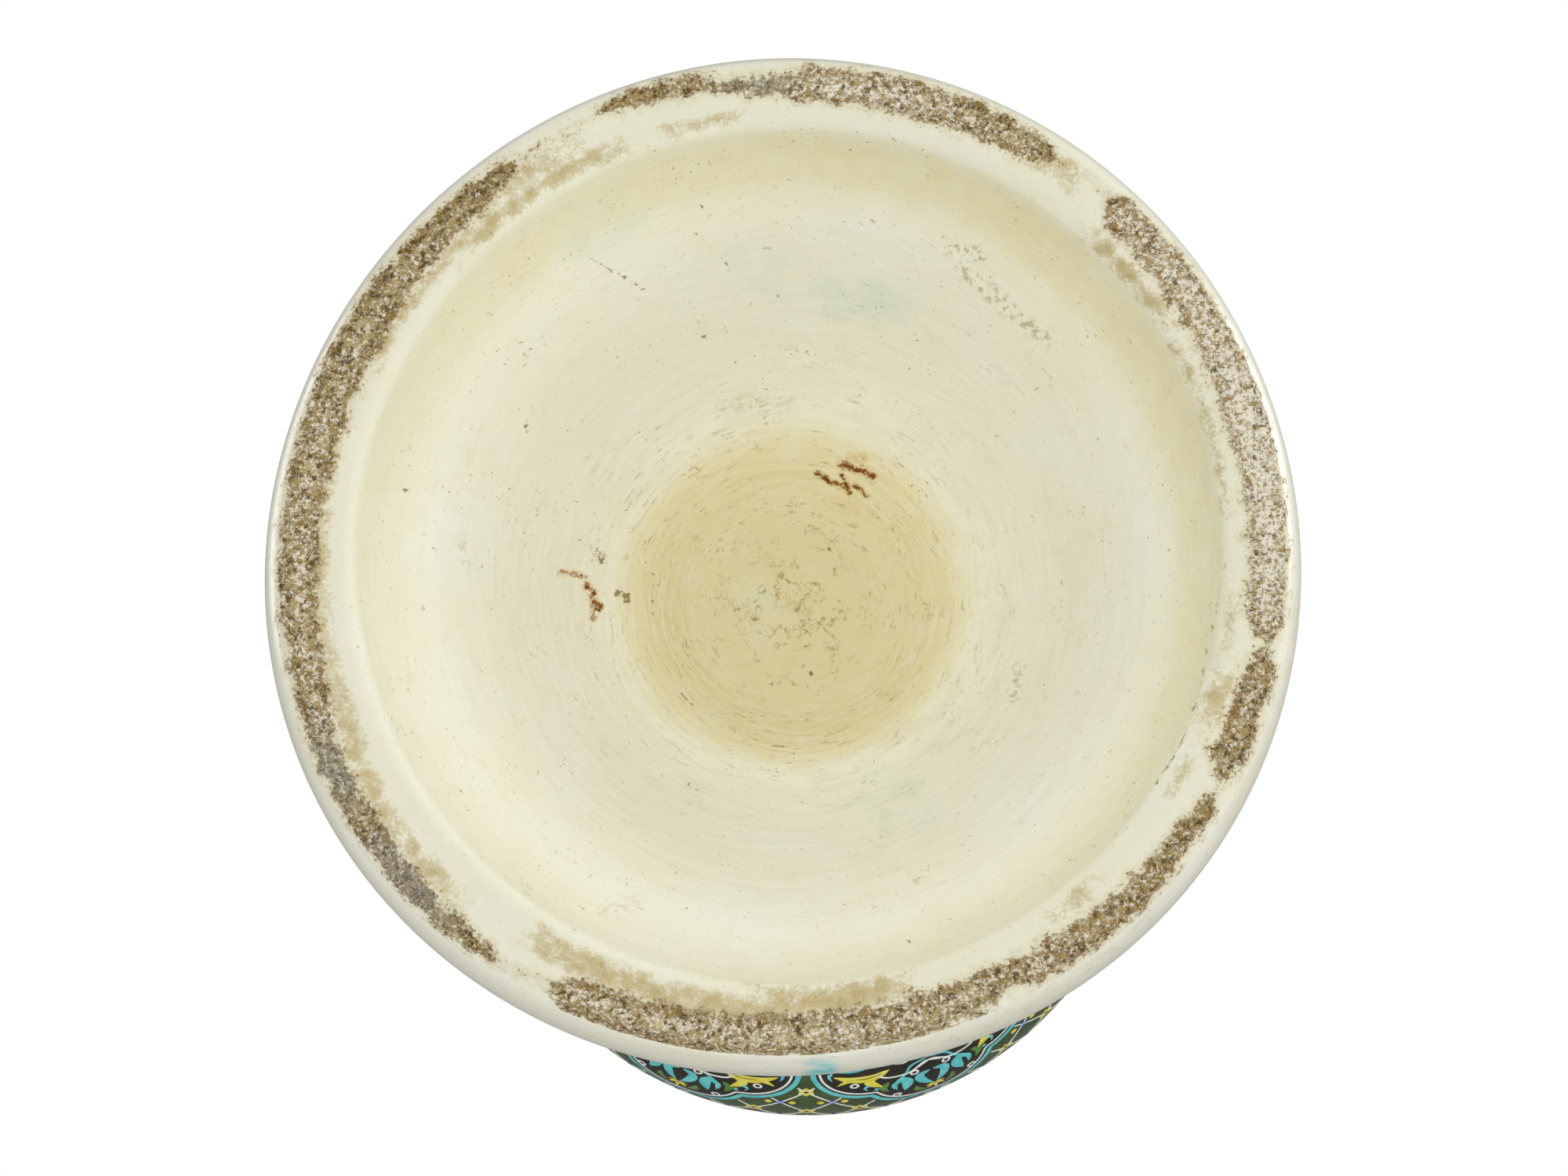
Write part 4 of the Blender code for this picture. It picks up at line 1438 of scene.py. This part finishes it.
def wrapped_piece(name, mesh, zone, colour, motif=None):
    """A tile wrapped round the vase and kept as a plain mesh."""
    copies, reference, level, turned = ZONES[zone]
    draft = bpy.data.objects.new(name + "_tile", mesh)
    bpy.context.scene.collection.objects.link(draft)
    if motif:
        scatter = draft.modifiers.new("scatter", "NODES")
        scatter.node_group = SCATTER
        set_inputs(scatter, {"Motif": motif, "Material": ENAMELS[colour]})
    wrap = draft.modifiers.new("wrap", "NODES")
    wrap.node_group = WRAP
    wrap_values = {
        "Outline": profile,
        "Copies": copies,
        "Reference Radius": reference * MM,
        "Start Angle": APEX_AZIMUTH + turned * math.tau / copies,
        "Start Along": float(along_at(level)) * MM,
        "Material": ENAMELS[colour],
    }
    set_inputs(wrap, wrap_values)
    depsgraph = bpy.context.evaluated_depsgraph_get()
    finished = bpy.data.meshes.new_from_object(draft.evaluated_get(depsgraph))
    bpy.data.objects.remove(draft)
    finished.name = name
    piece = bpy.data.objects.new(name, finished)
    finished.vertices.foreach_set("co", settle(vertex_points(piece)).ravel())
    finished.shade_smooth()
    finished.set_sharp_from_angle(angle=SHARP_ANGLE)
    if "copy" in finished.attributes:
        finished.attributes.remove(finished.attributes["copy"])
    bpy.context.scene.collection.objects.link(piece)
    return piece


# %% Wrap every zone
painting = []
for (zone, colour), marks in strokes.items():
    name = f"{zone}_{colour}"
    piece = wrapped_piece(name, stroke_mesh(name, marks, colour), zone, colour)
    painting.append(piece)
    print(name, len(piece.data.polygons), "faces")

strokes.clear()
rosette("rosette", "yellow", "dark", 0, 0, 2.3)
dot("floret", "cobalt", 0, 0, 1.2)
for side in (1, -1):
    dot("floret", "yellow", side * 2.9, 0, 0.9)
for (kind, colour), marks in strokes.items():
    name = f"trellis_{kind}_{colour}"
    motif = bpy.data.objects.new(name + "_motif", stroke_mesh(name, marks, colour))
    seats = bpy.data.meshes.new(name)
    spots = rosette_spots if kind == "rosette" else floret_spots
    seats.from_pydata([(x * MM, y * MM, 0) for x, y in spots], [], [])
    piece = wrapped_piece(name, seats, BAND, colour, motif)
    bpy.data.objects.remove(motif)
    painting.append(piece)
    print(name, len(piece.data.polygons), "faces")
bpy.data.objects.remove(profile)

# %% [markdown]
# ## Glaze on each face
# The hollow, the inside and the rolled edge of the foot are cream. The outside is painted from the foot's
# shoulder to the lip. A section could be cut in two, but it is one piece of clay, so each of its faces
# takes one of two materials.

# %% Materials by place
OUTSIDE_DEPTH = 2.5 * MM


def glaze_by_place(piece, painted_from):
    """Cream everywhere but on outer faces above one level."""
    mesh = piece.data
    centres = np.empty(len(mesh.polygons) * 3)
    mesh.polygons.foreach_get("center", centres)
    centres = centres.reshape(-1, 3)
    radius = np.hypot(centres[:, 0], centres[:, 1])
    outer = radius > np.interp(centres[:, 2], outside[:, 1], outside[:, 0]) - OUTSIDE_DEPTH
    painted = outer & (centres[:, 2] > painted_from)
    mesh.materials.append(CREAM)
    mesh.materials.append(GROUND)
    mesh.polygons.foreach_set("material_index", painted.astype(np.int32))
    print(piece.name, "has", np.count_nonzero(painted), "painted faces")


foot_ring.data.materials.append(WORN)
glaze_by_place(foot, FOOT_SHOULDER[1])
for piece in (lower_body, upper_body, neck):
    glaze_by_place(piece, STEM_LEVEL)

# %% [markdown]
# ## Stage
# The picture is taken from below, so the floor shows only its upper face, to the camera and in reflections,
# and lets every other ray through. Away from the vase it glows more and more, up to white, so that no
# horizon shows. The world is white where the camera looks past the vase. A dim ceiling is seen by
# reflections alone: it keeps the dark glaze dark, as the unlit upper half of a studio does.

# %% Floor and ceiling
FLOOR_HALF = 12.0
FLOOR_WHITE = linear("#f2f1ee")
GLOW_START, GLOW_FULL = 0.5, 2.2
GLOW_STRENGTH = 0.65
CEILING_LEVEL = 2.2
CEILING_HALF = 3.2
CEILING_GREY = 0.14
WHITE = (1, 1, 1, 1)


def stage_sheet(name, half, level):
    """A square sheet that belongs to the studio and not to the vase."""
    mesh = bpy.data.meshes.new(name)
    corners = [(x * half, y * half, level) for x, y in ((-1, -1), (1, -1), (1, 1), (-1, 1))]
    mesh.from_pydata(corners, [], [(0, 1, 2, 3)])
    sheet = bpy.data.objects.new(name, mesh)
    bpy.context.scene.collection.objects.link(sheet)
    material = bpy.data.materials.new(name)
    material.use_nodes = True
    material.node_tree.nodes.clear()
    mesh.materials.append(material)
    return sheet, material.node_tree


def pale_floor():
    """Matt white, and clear to every ray but those that look at it from above."""
    _, tree = stage_sheet("pale_floor", FLOOR_HALF, 0)
    rays = add_node(tree, "ShaderNodeLightPath")
    behind = add_node(tree, "ShaderNodeNewGeometry")["Backfacing"]
    looks = (rays["Is Camera Ray"], rays["Is Glossy Ray"])
    looked_at = add_node(tree, "ShaderNodeMath", looks, operation="MAXIMUM")[0]
    above = add_node(tree, "ShaderNodeMath", (1.0, behind), operation="SUBTRACT")[0]
    shown = add_node(tree, "ShaderNodeMath", (looked_at, above), operation="MULTIPLY")[0]
    clear = add_node(tree, "ShaderNodeBsdfTransparent")[0]
    matt = add_node(tree, "ShaderNodeBsdfDiffuse", {"Color": FLOOR_WHITE})[0]
    place = add_node(tree, "ShaderNodeTexCoord")["Object"]
    reach = add_node(tree, "ShaderNodeVectorMath", (place,), operation="LENGTH")["Value"]
    strength = add_node(tree, "ShaderNodeMapRange", (reach, GLOW_START, GLOW_FULL, 0.0, GLOW_STRENGTH))[0]
    glow = add_node(tree, "ShaderNodeEmission", {"Strength": strength})[0]
    sweep = add_node(tree, "ShaderNodeAddShader", (matt, glow))[0]
    mix = add_node(tree, "ShaderNodeMixShader", (shown, clear, sweep))[0]
    add_node(tree, "ShaderNodeOutputMaterial", {"Surface": mix})


def dim_ceiling():
    """A grey glow that only reflections see."""
    sheet, tree = stage_sheet("dim_ceiling", CEILING_HALF, CEILING_LEVEL)
    glow = add_node(tree, "ShaderNodeEmission", {"Color": WHITE, "Strength": CEILING_GREY})[0]
    add_node(tree, "ShaderNodeOutputMaterial", {"Surface": glow})
    sheet.visible_camera = sheet.visible_diffuse = False
    sheet.visible_shadow = sheet.visible_transmission = False


pale_floor()
dim_ceiling()
print(f"the floor is {2 * FLOOR_HALF:.0f} m wide and the ceiling {CEILING_LEVEL} m above it")

# %% World and lamps
WORLD_STRENGTH = 0.60
LAMPS = (
    ("key_left", (-1.6, 0.6, 1.0), (0, 0, 0.3), 0.9, 14, True),
    ("key_right", (1.5, 0.7, 1.1), (0, 0, 0.3), 1.2, 8, True),
    ("low_front", (0.8, -1.8, 0.3), (0, 0, 0.3), 0.9, 7, True),
    ("under_fill", (0.05, -0.1, -1.40), (0, 0, 0), 1.4, 9.6, False),
    ("under_left", (-1.8, -0.3, -0.45), (0, 0, 0), 0.9, 6.5, False),
    ("low_side", (-1.9, -0.4, 0.0), (0, 0, 0), 0.7, 2.5, False),
    ("under_back", (-0.3, 1.8, -0.50), (0, 0, 0), 0.9, 6, False),
)


def white_world(strength):
    """White to the camera and in reflections, and a softer light for all else."""
    world = bpy.data.worlds.new("studio")
    bpy.context.scene.world = world
    world.use_nodes = True
    tree = world.node_tree
    tree.nodes.clear()
    rays = add_node(tree, "ShaderNodeLightPath")
    mirrors = (rays["Is Glossy Ray"], rays["Is Transmission Ray"])
    reflected = add_node(tree, "ShaderNodeMath", mirrors, operation="MAXIMUM")[0]
    seen = add_node(tree, "ShaderNodeMath", (rays["Is Camera Ray"], reflected), operation="MAXIMUM")[0]
    soft = add_node(tree, "ShaderNodeBackground", {"Color": WHITE, "Strength": strength})[0]
    white = add_node(tree, "ShaderNodeBackground", {"Color": WHITE, "Strength": 1.0})[0]
    mix = add_node(tree, "ShaderNodeMixShader", (seen, soft, white))[0]
    add_node(tree, "ShaderNodeOutputWorld", {"Surface": mix})


def soft_lamp(name, place, target, size, watts, reflected):
    """A round lamp aimed at a target. It may be left out of reflections."""
    data = bpy.data.lights.new(name, "AREA")
    data.shape = "DISK"
    data.size = size
    data.energy = watts
    lamp = bpy.data.objects.new(name, data)
    lamp.location = place
    lamp.rotation_euler = (Vector(target) - Vector(place)).to_track_quat("-Z", "Y").to_euler()
    lamp.visible_glossy = reflected
    bpy.context.scene.collection.objects.link(lamp)


white_world(WORLD_STRENGTH)
for lamp in LAMPS:
    soft_lamp(*lamp)
bpy.context.scene.view_settings.view_transform = "Standard"
print("lamps:", ", ".join(lamp[0] for lamp in LAMPS))

# %% [markdown]
# ## Handing the pieces to the frame
# Every piece rides the one rigid body. Each section takes the place of its CAD section and of the slip bed
# on which it sits. The painted strokes are extra detail on the glaze.

# %% Ride and finish
SECTIONS = (
    (foot_ring, "bare_clay", ("foot_ring",)),
    (foot, "cream_glaze", ("foot", "ring_slip_bed")),
    (lower_body, "painted_glaze", ("lower_body", "foot_slip_bed")),
    (upper_body, "painted_glaze", ("upper_body", "belly_slip_bed")),
    (neck, "painted_glaze", ("neck", "neck_slip_bed")),
)
for piece, slot, nodes in SECTIONS:
    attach(piece, BODY)
    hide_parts(*nodes)
for piece in painting:
    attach(piece, BODY)
